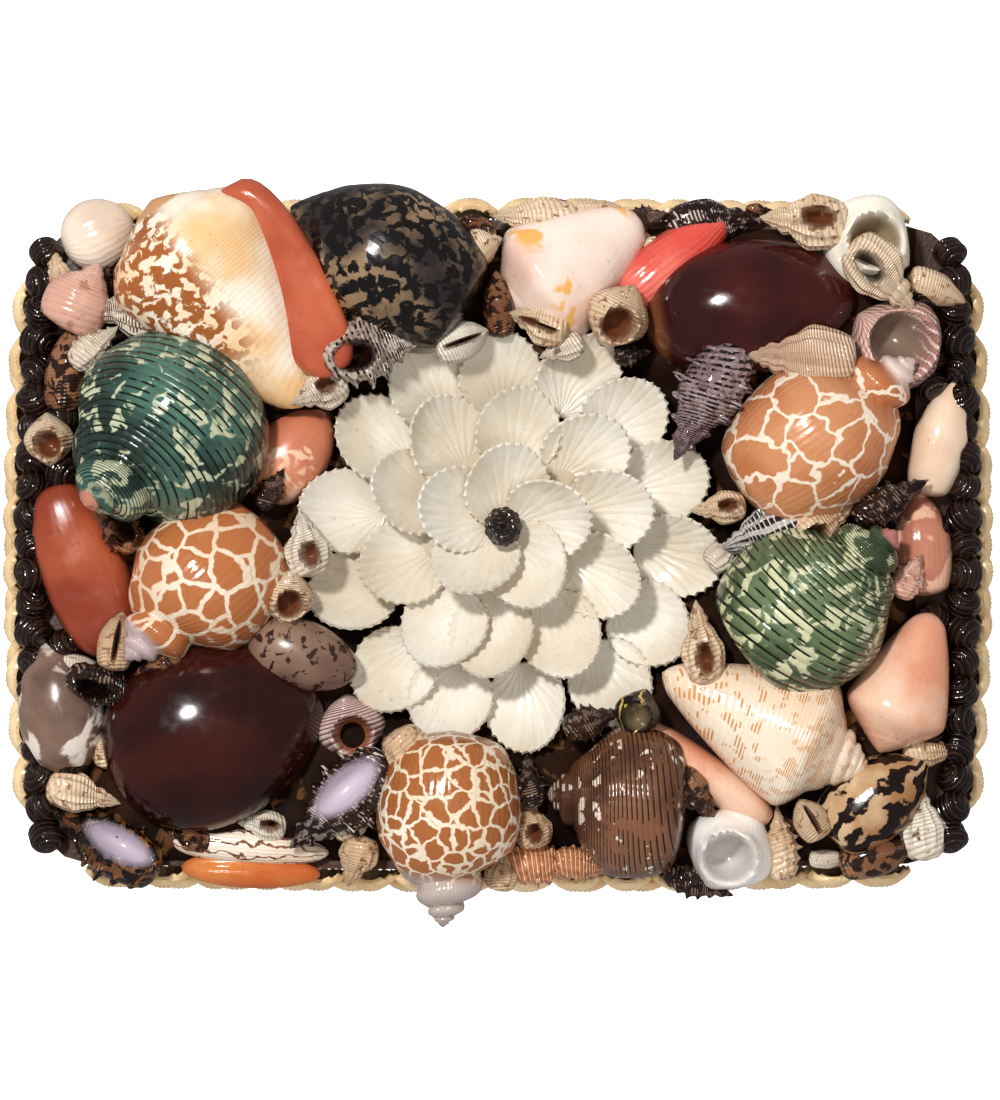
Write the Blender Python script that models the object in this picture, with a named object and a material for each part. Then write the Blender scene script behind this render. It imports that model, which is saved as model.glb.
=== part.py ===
"""Shell box: a hollow wooden box with a lift-off lid covered in sea shells.

Metres, +Z up. The origin is on the ground under the middle of the box, +X points to the
right and +Y to the back. Left and right ends carry dark beads, the sides carry cream
cockles, and the lid carries a white flower of cockle valves in a mosaic of large shells.
"""
import math
from dataclasses import dataclass

import bmesh
import bpy
from mathutils import Matrix, Vector
from mathutils.geometry import convex_hull_2d

# Box
LID_LENGTH = 0.242
LID_WIDTH = 0.166
BODY_HEIGHT = 0.045
LID_HEIGHT = 0.015
WALL = 0.005
FLOOR = 0.005
LID_PANEL = 0.005
CORNER_RADIUS = 0.012
END_BOW = 0.0045
SIDE_BOW = 0.002
CORNER_STEPS = 3
SIDE_STEPS = 4

# Locating lip under the lid
LIP_DEPTH = 0.006
LIP_THICKNESS = 0.003
LIP_CLEARANCE = 0.0005

# Gaps
GAP = 0.0003
GLUE_LINE = 0.0008

# Dark beads along the ends of the lid
BEAD_DIAMETER = 0.008
BEAD_PITCH = 0.0074

# Cream cockles round the sides
COCKLE_WIDTH = 0.0155
COCKLE_HEIGHT = 0.017
COCKLE_DEPTH = 0.0045
COCKLE_LAP = 0.0005
COCKLE_DROP = 0.001
COCKLE_LEAN = 0.35
COCKLE_SIDES = 6
COCKLE_RINGS = 4

# White flower
FLOWER_X = 0.0013
FLOWER_Y = 0.0046
PETAL_LENGTH = 0.0205
PETAL_WIDTH = 0.0198
PETAL_DEPTH = 0.0045
PETAL_THICKNESS = 0.0012
PETAL_MIDDLE = 0.58
PETAL_TAPER = 0.25
PETAL_TILT = 22.0
PETAL_SEAT = 0.0002
PETAL_SIDES = 8
RING_STEP = 0.0056
BUTTON_DIAMETER = 0.0098
BUTTON_HEIGHT = 0.0080
BUTTON_RISE = 0.0046
BUTTON_STRETCH = 1.2
BUTTON_MIDDLE = 0.4

# The lid that the shells' places below are measured on
PLAN_LENGTH = 0.242
PLAN_WIDTH = 0.166
ACROSS = LID_LENGTH / PLAN_LENGTH
ALONG = LID_WIDTH / PLAN_WIDTH
FIT = min(ACROSS, ALONG)

LID_BOTTOM = BODY_HEIGHT + GAP
LID_TOP = LID_BOTTOM + LID_HEIGHT
SHELL_BED = LID_TOP + GAP


@dataclass(frozen=True)
class Ring:
    """One ring of petals: how many, where the first points, how far out and which layer."""

    name: str
    count: int
    start: float
    radius: float
    tier: int
    joined: bool


RINGS = (
    Ring("petal_ring_outer", 14, 13.0, 0.0418, 0, True),
    Ring("petal_ring_middle", 10, 8.0, 0.0278, 1, True),
    Ring("petal_inner", 5, 14.0, 0.0135, 2, False),
)


@dataclass(frozen=True)
class Form:
    """Proportions of one kind of coiled shell."""

    spire: float
    neck: float
    shoulder: float
    base: float
    taper: float
    bulge: float
    whorls: int = 2
    depth: float = 1.0
    ribs: int = 0
    rib_height: float = 0.0


TURBAN = Form(spire=0.40, neck=0.66, shoulder=0.42, base=0.30, taper=2.3, bulge=0.10)
BABYLONIA = Form(spire=0.40, neck=0.58, shoulder=0.40, base=0.24, taper=1.9, bulge=0.08)
WHELK = Form(spire=0.42, neck=0.60, shoulder=0.32, base=0.20, taper=1.6, bulge=0.09)
NODULED = Form(
    spire=0.36, neck=0.62, shoulder=0.28, base=0.20, taper=1.5, bulge=0.06, ribs=5, rib_height=0.07
)
CONCH = Form(spire=0.20, neck=0.62, shoulder=0.20, base=0.16, taper=1.25, bulge=0.05, depth=0.85)
CONE = Form(spire=0.12, neck=0.70, shoulder=0.12, base=0.18, taper=1.10, bulge=0.03)
OLIVE = Form(spire=0.18, neck=0.60, shoulder=0.40, base=0.36, taper=2.4, bulge=0.02)
MOON = Form(spire=0.24, neck=0.60, shoulder=0.42, base=0.45, taper=2.4, bulge=0.07)
TOP = Form(spire=0.62, neck=0.92, shoulder=0.20, base=0.55, taper=2.4, bulge=0.03)


@dataclass(frozen=True)
class Snail:
    """One coiled shell: where its middle lies on the lid and which way its tip points."""

    name: str
    form: Form
    colour: tuple
    x: float
    y: float
    heading: float
    length: float
    width: float
    pitch: float = 0.0
    roll: float = 0.0
    sink: float = 0.18
    lip: float = 0.0
    mouth: float = 0.0


@dataclass(frozen=True)
class Egg:
    """One smooth rounded shell, such as a cowrie or a clam."""

    name: str
    colour: tuple
    x: float
    y: float
    heading: float
    length: float
    width: float
    height: float
    taper: float = 0.12
    sink: float = 0.30


CREAM = (0.80, 0.68, 0.52)
WHITE = (0.86, 0.80, 0.72)
PINK = (0.84, 0.60, 0.50)
ORANGE = (0.72, 0.34, 0.14)
PURPLE = (0.13, 0.04, 0.045)
TEAL = (0.08, 0.26, 0.24)
GREEN = (0.16, 0.30, 0.16)
DARK = (0.07, 0.04, 0.03)
BROWN = (0.30, 0.16, 0.09)
TERRACOTTA = (0.55, 0.18, 0.09)
CORAL = (0.80, 0.25, 0.20)
GREY = (0.42, 0.34, 0.29)

SNAILS = (
    Snail("mottled_conch", CONCH, ORANGE, -0.0695, 0.0640, 121, 0.0645, 0.0480, sink=0.14, lip=0.34),
    Snail("black_volute", OLIVE, DARK, -0.0275, 0.0700, 150, 0.0530, 0.0390, sink=0.22),
    Snail("pink_wedge_conch", CONE, PINK, 0.0190, 0.0690, 214, 0.0425, 0.0335, sink=0.30),
    Snail("moon_snail", MOON, WHITE, 0.0930, 0.0775, 150, 0.0255, 0.0235, roll=40, mouth=0.35),
    Snail("small_whelk", WHELK, CREAM, 0.0960, 0.0645, -48, 0.0245, 0.0140, mouth=0.20),
    Snail("top_shell", TOP, PINK, 0.1000, 0.0480, -38, 0.0210, 0.0280, pitch=-52, sink=0.25, mouth=0.25),
    Snail("pale_nassa", WHELK, CREAM, 0.0745, 0.0440, -4, 0.0275, 0.0170),
    Snail("morula", NODULED, DARK, 0.0555, 0.0375, 240, 0.0305, 0.0200, sink=0.08),
    Snail("babylonia_right", BABYLONIA, ORANGE, 0.0810, 0.0240, 39, 0.0560, 0.0390, pitch=8),
    Snail("cream_olive", OLIVE, CREAM, 0.1080, 0.0255, 76, 0.0305, 0.0140),
    Snail("pink_conch", WHELK, PINK, 0.1060, 0.0005, 95, 0.0275, 0.0150),
    Snail("green_turban", TURBAN, GREEN, 0.0780, -0.0165, 40, 0.0500, 0.0435, pitch=14),
    Snail("pink_cone", CONE, PINK, 0.1005, -0.0350, 249, 0.0380, 0.0265),
    Snail("striped_conch", CONCH, WHITE, 0.0640, -0.0500, -26, 0.0635, 0.0380, sink=0.14, lip=0.22),
    Snail("tiger_cone", OLIVE, BROWN, 0.0950, -0.0660, 38, 0.0320, 0.0215),
    Snail("white_nerite", MOON, WHITE, 0.0570, -0.0760, 60, 0.0235, 0.0235, roll=20, mouth=0.35),
    Snail("striped_snail", MOON, BROWN, 0.0285, -0.0660, 175, 0.0360, 0.0390, sink=0.24),
    Snail("giraffe_babylonia", BABYLONIA, ORANGE, -0.0120, -0.0730, 267, 0.0500, 0.0370),
    Snail("lilac_mouth", NODULED, DARK, -0.0385, -0.0640, 221, 0.0350, 0.0200, mouth=0.30),
    Snail("babylonia_left", BABYLONIA, ORANGE, -0.0735, -0.0085, 225, 0.0500, 0.0380, pitch=14),
    Snail("teal_turban", TURBAN, TEAL, -0.0825, 0.0290, 223, 0.0530, 0.0515, pitch=34, sink=0.20),
    Snail("murex", NODULED, GREY, -0.0310, 0.0480, 12, 0.0275, 0.0190, mouth=0.30),
    Snail("striped_whelk", WHELK, GREY, -0.0930, 0.0585, 172, 0.0255, 0.0130, mouth=0.20),
    Snail("corner_shell", NODULED, BROWN, -0.0975, -0.0755, 150, 0.0305, 0.0180, mouth=0.25),
    Snail("orange_rock_shell", NODULED, ORANGE, 0.0050, -0.0800, -5, 0.0200, 0.0135),
    Snail("ribbed_snail", MOON, PINK, -0.0365, -0.0455, 100, 0.0180, 0.0180, mouth=0.30),
    Snail("speckled_whelk", WHELK, DARK, 0.0555, 0.0800, 5, 0.0255, 0.0125),
    Snail("zebra_nassa", WHELK, GREY, 0.0655, 0.0035, 30, 0.0225, 0.0140),
)

EGGS = (
    Egg("purple_cowrie_left", PURPLE, -0.0725, -0.0480, 24, 0.0580, 0.0495, 0.036),
    Egg("purple_cowrie_right", PURPLE, 0.0640, 0.0600, 10, 0.0545, 0.0365, 0.032),
    Egg("pink_cowrie", PINK, -0.0535, 0.0225, 50, 0.0285, 0.0200, 0.018),
    Egg("small_cowrie", GREY, -0.0500, -0.0285, -18, 0.0295, 0.0180, 0.017),
    Egg("grey_cowrie", GREY, -0.1075, -0.0415, 97, 0.0345, 0.0220, 0.020),
    Egg("white_clam", WHITE, -0.1000, 0.0765, 20, 0.0190, 0.0185, 0.013, taper=0.05),
    Egg("terracotta_lip", TERRACOTTA, -0.1010, -0.0065, 110, 0.0460, 0.0200, 0.021, taper=0.05),
    Egg("coral_lip", CORAL, 0.0430, 0.0720, 38, 0.0295, 0.0145, 0.015, taper=0.20),
    Egg("white_olive", WHITE, -0.0640, -0.0765, -5, 0.0420, 0.0100, 0.012, taper=0.05),
    Egg("orange_lip", ORANGE, -0.0630, -0.0850, -3, 0.0355, 0.0080, 0.009, taper=0.05),
)

LARGE_SHELL = 0.032
SMALL_SHELL = 0.022
LARGE_COLUMNS = 10
MIDDLE_COLUMNS = 7
SMALL_COLUMNS = 6
ROWS_PER_WHORL = 2
LARGE_BODY_ROWS = 4
SMALL_BODY_ROWS = 3
SPIRE_CURVE = 1.4
SPIRE_ROUNDING = 0.9
MOUTH_PLACE = 0.55
MOUTH_SPREAD = 0.30
TIP_ROW = 0.5
BODY_END = 0.94
LARGE_EGG_COLUMNS = 12
LARGE_EGG_RINGS = 6
SMALL_EGG_COLUMNS = 8
SMALL_EGG_RINGS = 4
SHELL_ROUGHNESS = 0.25
SHARP_ANGLE = 50.0

# How near two points count as one
CUT_TOLERANCE = 0.000001
SHORT_EDGE = 0.00001
PETAL_WELD = 0.0001
RING_WELD = 0.000003


def clear_scene():
    """Remove whatever the file opened with."""
    for item in list(bpy.data.objects):
        bpy.data.objects.remove(item)


def make_collection(name):
    """Return a new collection linked to the scene."""
    collection = bpy.data.collections.new(name)
    bpy.context.scene.collection.children.link(collection)
    return collection


def make_material(name, colour, roughness=0.3, metallic=0.0):
    """Return a Principled BSDF material."""
    material = bpy.data.materials.new(name)
    material.use_nodes = True
    shader = material.node_tree.nodes["Principled BSDF"]
    shader.inputs["Base Color"].default_value = (*colour, 1.0)
    shader.inputs["Roughness"].default_value = roughness
    shader.inputs["Metallic"].default_value = metallic
    return material


def add_object(name, mesh, collection, colour, roughness=0.3):
    """Link a mesh as a named object with a material of its own."""
    item = bpy.data.objects.new(name, mesh)
    collection.objects.link(item)
    mesh.materials.append(make_material(name + "_finish", colour, roughness))
    return item


def mesh_from(body, name):
    """Turn a bmesh into a mesh with its faces pointing out."""
    bmesh.ops.recalc_face_normals(body, faces=body.faces)
    mesh = bpy.data.meshes.new(name)
    body.to_mesh(mesh)
    body.free()
    return mesh


def end_reach(y):
    """Return how far the lid's bowed end reaches from the middle at a given y."""
    half_width = LID_WIDTH / 2
    return LID_LENGTH / 2 - END_BOW * (y / half_width) ** 2


def side_reach(x):
    """Return how far the lid's bowed long side reaches from the middle at a given x."""
    half_length = LID_LENGTH / 2
    return LID_WIDTH / 2 - SIDE_BOW * (x / half_length) ** 2


def plan_outline(inset):
    """Return the box's outline, moved in from the outer face by inset."""
    half_length = LID_LENGTH / 2 - END_BOW - inset
    half_width = LID_WIDTH / 2 - SIDE_BOW - inset
    radius = max(CORNER_RADIUS - inset, CORNER_RADIUS / 4)
    flat = []
    corners = ((1, 1, 0), (-1, 1, 90), (-1, -1, 180), (1, -1, 270))
    for index, (sign_x, sign_y, start) in enumerate(corners):
        centre_x = sign_x * (half_length - radius)
        centre_y = sign_y * (half_width - radius)
        for step in range(CORNER_STEPS + 1):
            angle = math.radians(start + 90 * step / CORNER_STEPS)
            flat.append((centre_x + radius * math.cos(angle), centre_y + radius * math.sin(angle)))
        next_x, next_y, next_start = corners[(index + 1) % len(corners)]
        turn = math.radians(next_start)
        end_x = next_x * (half_length - radius) + radius * math.cos(turn)
        end_y = next_y * (half_width - radius) + radius * math.sin(turn)
        first_x, first_y = flat[-1]
        for step in range(1, SIDE_STEPS):
            share = step / SIDE_STEPS
            flat.append((first_x + (end_x - first_x) * share, first_y + (end_y - first_y) * share))
    bowed = []
    for x, y in flat:
        out_x = END_BOW * (x / half_length) * (1 - (y / half_width) ** 2)
        out_y = SIDE_BOW * (y / half_width) * (1 - (x / half_length) ** 2)
        bowed.append((x + out_x, y + out_y))
    return bowed


def slab(name, inset, bottom, top, collection):
    """Return a flat slab with the box's outline as a mesh object."""
    curve = bpy.data.curves.new(name, "CURVE")
    curve.dimensions = "2D"
    curve.fill_mode = "BOTH"
    curve.extrude = (top - bottom) / 2
    outline = plan_outline(inset)
    spline = curve.splines.new("POLY")
    spline.points.add(len(outline) - 1)
    for point, (x, y) in zip(spline.points, outline):
        point.co = (x, y, 0, 1)
    spline.use_cyclic_u = True
    shape = bpy.data.objects.new(name, curve)
    collection.objects.link(shape)
    shape.location.z = (bottom + top) / 2
    bpy.context.view_layer.update()
    graph = bpy.context.evaluated_depsgraph_get()
    mesh = bpy.data.meshes.new_from_object(shape.evaluated_get(graph))
    place = shape.matrix_world.copy()
    bpy.data.objects.remove(shape)
    body = bmesh.new()
    body.from_mesh(mesh)
    bmesh.ops.remove_doubles(body, verts=body.verts, dist=CUT_TOLERANCE)
    bpy.data.meshes.remove(mesh)
    item = bpy.data.objects.new(name, mesh_from(body, name))
    collection.objects.link(item)
    item.matrix_world = place
    return item


def combine(item, other, operation):
    """Add a Boolean modifier to item."""
    modifier = item.modifiers.new(operation.lower(), "BOOLEAN")
    modifier.operation = operation
    modifier.solver = "EXACT"
    modifier.object = other


def hide_cutter(item):
    """Keep a helper out of renders and drawn as wire."""
    item.hide_render = True
    item.display_type = "WIRE"


def make_box(parts, cutters):
    """Make the hollow box body, open above."""
    body = slab("box_body", 0, 0, BODY_HEIGHT, parts)
    hollow = slab("body_hollow", WALL, FLOOR, BODY_HEIGHT + WALL, cutters)
    hide_cutter(hollow)
    combine(body, hollow, "DIFFERENCE")
    body.data.materials.append(make_material("box_wood", BROWN, 0.5))


def make_lid(parts, cutters):
    """Make the shallow lid with the lip that drops into the box."""
    lid = slab("lid", 0, LID_BOTTOM, LID_TOP, parts)
    lip_bottom = BODY_HEIGHT - LIP_DEPTH
    plug = slab("lid_plug", WALL + LIP_CLEARANCE, lip_bottom, LID_TOP - LID_PANEL / 2, cutters)
    hollow_inset = WALL + LIP_CLEARANCE + LIP_THICKNESS
    hollow = slab("lid_hollow", hollow_inset, lip_bottom - WALL, LID_TOP - LID_PANEL, cutters)
    hide_cutter(plug)
    hide_cutter(hollow)
    combine(lid, plug, "UNION")
    combine(lid, hollow, "DIFFERENCE")
    lid.data.materials.append(make_material("lid_wood", BROWN, 0.5))


def cut(body, point, normal):
    """Cut a closed bmesh by a plane, drop what lies past it and close the cut."""
    geometry = list(body.verts) + list(body.edges) + list(body.faces)
    bmesh.ops.bisect_plane(
        body, geom=geometry, dist=CUT_TOLERANCE, plane_co=point, plane_no=normal, clear_outer=True
    )
    open_edges = [edge for edge in body.edges if edge.is_boundary]
    if open_edges:
        bmesh.ops.holes_fill(body, edges=open_edges, sides=0)


def hull_of(body):
    """Return the plan outline of a bmesh as a convex loop of points."""
    points = [Vector((vert.co.x, vert.co.y)) for vert in body.verts]
    return [points[index] for index in convex_hull_2d(points)]


def reach_along(hull, normal):
    """Return the least and greatest distance of a plan outline along a direction."""
    spans = [point.dot(normal) for point in hull]
    return min(spans), max(spans)


def parting_line(first, second):
    """Return the direction from first to second in which they overlap least, and how much."""
    best = None
    for hull, sign in ((first, 1), (second, -1)):
        for index, point in enumerate(hull):
            edge = hull[(index + 1) % len(hull)] - point
            if edge.length < SHORT_EDGE:
                continue
            normal = Vector((edge.y, -edge.x)).normalized()
            for direction in (normal, -normal):
                facing = direction * sign
                overlap = reach_along(first, facing)[1] - reach_along(second, facing)[0]
                if best is None or overlap < best[0]:
                    best = (overlap, facing)
    return best


def part_neighbours(bodies):
    """Trim shells that would touch, so that each pair meets at a flat with a gap."""
    names = list(bodies)
    hulls = {name: hull_of(bodies[name]) for name in names}
    for index, name in enumerate(names):
        for other in names[index + 1:]:
            overlap, direction = parting_line(hulls[name], hulls[other])
            if overlap < -GAP:
                continue
            middle = reach_along(hulls[name], direction)[1] - overlap / 2
            normal = Vector((direction.x, direction.y, 0))
            cut(bodies[name], normal * (middle - GAP / 2), normal)
            cut(bodies[other], normal * (middle + GAP / 2), -normal)
            hulls[name] = hull_of(bodies[name])
            hulls[other] = hull_of(bodies[other])


def shell_radius(form, along):
    """Return the radius at a share of the length from the tip, where 1 is the widest."""
    if along <= form.spire:
        return form.neck * (along / form.spire) ** SPIRE_ROUNDING
    share = (along - form.spire) / (1 - form.spire)
    if share < form.shoulder:
        return form.neck + (1 - form.neck) * math.sin(math.pi / 2 * share / form.shoulder)
    past = (share - form.shoulder) / (1 - form.shoulder)
    return form.base + (1 - form.base) * max(0.0, 1 - past ** form.taper) ** (1 / form.taper)


def spiral_body(snail, columns, body_rows):
    """Return a coiled shell as a bmesh, wound on a helical grid, its tip towards +X.

    Each row of the grid runs on into the row one whorl further along, so the seams
    between the whorls follow the rows.
    """
    form = snail.form
    spire_rows = form.whorls * ROWS_PER_WHORL
    last_row = spire_rows + body_rows
    body = bmesh.new()

    def along(station):
        if station <= spire_rows:
            return form.spire * ((station + TIP_ROW) / (spire_rows + TIP_ROW)) ** SPIRE_CURVE
        if station <= last_row:
            share = (station - spire_rows) / body_rows
            return form.spire + (BODY_END - form.spire) * share
        return BODY_END + (1 - BODY_END) * (station - last_row) / (ROWS_PER_WHORL + 1)

    def vertex_at(row, column):
        station = row + ROWS_PER_WHORL * column / columns
        share = along(station)
        angle = 2 * math.pi * column / columns
        fade = min(1.0, max(0.0, (last_row - station) / body_rows))
        swell = -math.cos(2 * math.pi * row / ROWS_PER_WHORL) * form.bulge * fade
        rib = form.rib_height * math.cos(form.ribs * 2 * math.pi * station / ROWS_PER_WHORL)
        radius = shell_radius(form, share) * (1 + swell + rib) * snail.width / 2
        middle = math.exp(-(((share - MOUTH_PLACE) / MOUTH_SPREAD) ** 2))
        if column == columns // 2:
            radius += snail.lip * snail.width * middle
        upward = max(0.0, math.sin(angle))
        radius *= 1 - snail.mouth * upward ** 2 * middle
        across = radius * math.cos(angle)
        height = radius * math.sin(angle) * form.depth
        return body.verts.new(((0.5 - share) * snail.length, across, height))

    grid = {}
    for column in range(columns):
        rows = last_row + (ROWS_PER_WHORL if column == 0 else 0)
        for row in range(rows + 1):
            grid[row, column] = vertex_at(row, column)
    for row in range(last_row + 1):
        grid[row, columns] = grid[row + ROWS_PER_WHORL, 0]
    for column in range(columns):
        for row in range(last_row):
            corners = (grid[row, column], grid[row + 1, column])
            next_corners = (grid[row + 1, column + 1], grid[row, column + 1])
            body.faces.new(corners + next_corners)
    tip = body.verts.new((0.5 * snail.length, 0, 0))
    base = body.verts.new((-0.5 * snail.length, 0, 0))
    for end, row in ((tip, 0), (base, last_row)):
        loop = [grid[row, column] for column in range(columns)]
        loop += [grid[row + step, 0] for step in range(ROWS_PER_WHORL, 0, -1)]
        for first, second in zip(loop, loop[1:] + loop[:1]):
            body.faces.new((first, second, end))
    bmesh.ops.recalc_face_normals(body, faces=body.faces)
    return body


def egg_body(egg):
    """Return a smooth rounded shell as a bmesh, its narrow end towards +X."""
    body = bmesh.new()
    large = egg.length > LARGE_SHELL
    columns = LARGE_EGG_COLUMNS if large else SMALL_EGG_COLUMNS
    rings = LARGE_EGG_RINGS if large else SMALL_EGG_RINGS
    bmesh.ops.create_uvsphere(body, u_segments=columns, v_segments=rings, radius=0.5)
    bmesh.ops.rotate(body, verts=body.verts, matrix=Matrix.Rotation(math.pi / 2, 3, "Y"))
    for vert in body.verts:
        narrowing = 1 - egg.taper * 2 * vert.co.x
        vert.co.x *= egg.length
        vert.co.y *= egg.width * narrowing
        vert.co.z *= egg.height * narrowing
    return body


def lay_on_lid(body, shell, pitch, roll):
    """Turn a shell, set it on the lid and cut its underside flat where it is bedded."""
    turn = (
        Matrix.Rotation(math.radians(shell.heading), 4, "Z")
        @ Matrix.Rotation(math.radians(-pitch), 4, "Y")
        @ Matrix.Rotation(math.radians(roll), 4, "X")
        @ Matrix.Scale(FIT, 4)
    )
    bmesh.ops.transform(body, matrix=turn, verts=body.verts)
    low = Vector([min(vert.co[axis] for vert in body.verts) for axis in range(3)])
    high = Vector([max(vert.co[axis] for vert in body.verts) for axis in range(3)])
    sunk = (high.z - low.z) * shell.sink
    middle = (low + high) / 2
    target = Vector((shell.x * ACROSS, shell.y * ALONG, SHELL_BED - sunk))
    offset = Vector((target.x - middle.x, target.y - middle.y, target.z - low.z))
    bmesh.ops.translate(body, verts=body.verts, vec=offset)
    cut(body, Vector((0, 0, SHELL_BED)), Vector((0, 0, -1)))


def bead_line(y):
    """Return how far from the middle the beads stand at a given y, nearer at the corners."""
    corner = max(0.0, abs(y) - (LID_WIDTH / 2 - CORNER_RADIUS))
    tuck = CORNER_RADIUS - math.sqrt(max(0.0, CORNER_RADIUS ** 2 - corner ** 2))
    return end_reach(y) - BEAD_DIAMETER / 2 - tuck / 2


def keep_in_field(body):
    """Trim a shell that would reach the beads or the flower."""
    hull = hull_of(body)
    span = reach_along(hull, Vector((0, 1)))
    bead_field = min(bead_line(y) for y in span) - BEAD_DIAMETER / 2 - GAP
    for side in (-1, 1):
        outward = Vector((side, 0))
        if reach_along(hull, outward)[1] > bead_field:
            cut(body, Vector((side * bead_field, 0, 0)), Vector((side, 0, 0)))
    centre = flower_centre()
    middle = sum(hull, Vector((0, 0))) / len(hull)
    inward = (centre - middle).normalized()
    edge = centre - inward * (flower_reach() + GAP)
    if reach_along(hull, inward)[1] > edge.dot(inward):
        cut(body, Vector((edge.x, edge.y, 0)), Vector((inward.x, inward.y, 0)))


def make_mosaic(parts):
    """Make the large shells, each trimmed clear of its neighbours."""
    bodies = {}
    colours = {}
    for snail in SNAILS:
        columns = MIDDLE_COLUMNS
        body_rows = SMALL_BODY_ROWS
        if snail.length > LARGE_SHELL:
            columns = LARGE_COLUMNS
            body_rows = LARGE_BODY_ROWS
        elif snail.length < SMALL_SHELL:
            columns = SMALL_COLUMNS
        bodies[snail.name] = spiral_body(snail, columns, body_rows)
        colours[snail.name] = snail.colour
        lay_on_lid(bodies[snail.name], snail, snail.pitch, snail.roll)
    for egg in EGGS:
        bodies[egg.name] = egg_body(egg)
        colours[egg.name] = egg.colour
        lay_on_lid(bodies[egg.name], egg, 0, 0)
    for body in bodies.values():
        keep_in_field(body)
    part_neighbours(bodies)
    for name, body in bodies.items():
        mesh = mesh_from(body, name)
        mesh.shade_smooth()
        mesh.set_sharp_from_angle(angle=math.radians(SHARP_ANGLE))
        add_object(name, mesh, parts, colours[name], SHELL_ROUGHNESS)


def fuse(name, pieces, parts, cutters, colour):
    """Join a run of pieces, each touching only the next, into one solid."""
    members = (pieces[0::2], pieces[1::2])
    joined = []
    for group in members:
        body = bmesh.new()
        for piece in group:
            mesh = mesh_from(piece, name)
            body.from_mesh(mesh)
            bpy.data.meshes.remove(mesh)
        joined.append(mesh_from(body, name))
    item = add_object(name, joined[0], parts, colour)
    for number, mesh in enumerate(joined[1:]):
        helper = add_object(f"{name}_join_{number}", mesh, cutters, colour)
        hide_cutter(helper)
        combine(item, helper, "UNION")
    return item


def bead_body(x, y):
    """Return one bead standing on the lid, with a corner towards each neighbour along Y."""
    body = bmesh.new()
    bmesh.ops.create_icosphere(body, subdivisions=1, radius=BEAD_DIAMETER / 2)
    bmesh.ops.rotate(body, verts=body.verts, matrix=Matrix.Rotation(math.pi / 2, 3, "X"))
    lowest = min(vert.co.z for vert in body.verts)
    bmesh.ops.translate(body, verts=body.verts, vec=(x, y, SHELL_BED - lowest))
    return body


def make_beads(parts, cutters):
    """Make the rows of dark beads along both ends of the lid."""
    count = int((LID_WIDTH - 2 * SIDE_BOW - BEAD_DIAMETER) / BEAD_PITCH)
    for name, side in (("bead_row_left", -1), ("bead_row_right", 1)):
        pieces = []
        for index in range(count):
            y = (index - (count - 1) / 2) * BEAD_PITCH
            pieces.append(bead_body(side * bead_line(y), y))
        fuse(name, pieces, parts, cutters, DARK)


def cockle_body(place, heading):
    """Return one cream cockle whose back is flat, its swell pointing along heading."""
    body = bmesh.new()
    bmesh.ops.create_uvsphere(body, u_segments=COCKLE_SIDES, v_segments=COCKLE_RINGS, radius=1)
    cut(body, Vector((0, 0, 0)), Vector((0, 0, -1)))
    reach = max(vert.co.x for vert in body.verts)
    for vert in body.verts:
        vert.co.y += COCKLE_LEAN * vert.co.z
        vert.co.x *= COCKLE_WIDTH / 2 / reach
        vert.co.y *= COCKLE_HEIGHT / 2
        vert.co.z *= COCKLE_DEPTH
    stand = Matrix.Rotation(math.pi / 2, 4, "X")
    turn = Matrix.Rotation(heading + math.pi / 2, 4, "Z")
    bmesh.ops.transform(body, matrix=Matrix.Translation(place) @ turn @ stand, verts=body.verts)
    return body


def make_cockles(parts, cutters):
    """Make the rows of cream cockles round the four sides of the box."""
    height = BODY_HEIGHT - COCKLE_HEIGHT / 2 - COCKLE_DROP
    pitch = COCKLE_WIDTH - COCKLE_LAP
    runs = (
        ("cockle_row_right", 0, LID_WIDTH, end_reach, END_BOW),
        ("cockle_row_back", 90, LID_LENGTH, side_reach, SIDE_BOW),
        ("cockle_row_left", 180, LID_WIDTH, end_reach, END_BOW),
        ("cockle_row_front", 270, LID_LENGTH, side_reach, SIDE_BOW),
    )
    for name, facing, run, reach, bow in runs:
        count = int((run - 2 * CORNER_RADIUS) / pitch)
        turn = Matrix.Rotation(math.radians(facing), 3, "Z")
        pieces = []
        for index in range(count):
            along = (index - (count - 1) / 2) * pitch
            slope = math.atan(2 * bow * along / (run / 2) ** 2)
            place = turn @ Vector((reach(along) + GLUE_LINE, along, height))
            pieces.append(cockle_body(place, math.radians(facing) + slope))
        fuse(name, pieces, parts, cutters, CREAM)


def flower_centre():
    """Return the flower's middle on the lid."""
    return Vector((FLOWER_X * ACROSS, FLOWER_Y * ALONG))


def flower_reach():
    """Return the radius of the flower at its outer petals."""
    tilt = math.cos(math.radians(PETAL_TILT))
    return (RINGS[0].radius + PETAL_LENGTH / 2 * tilt) * FIT


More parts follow.
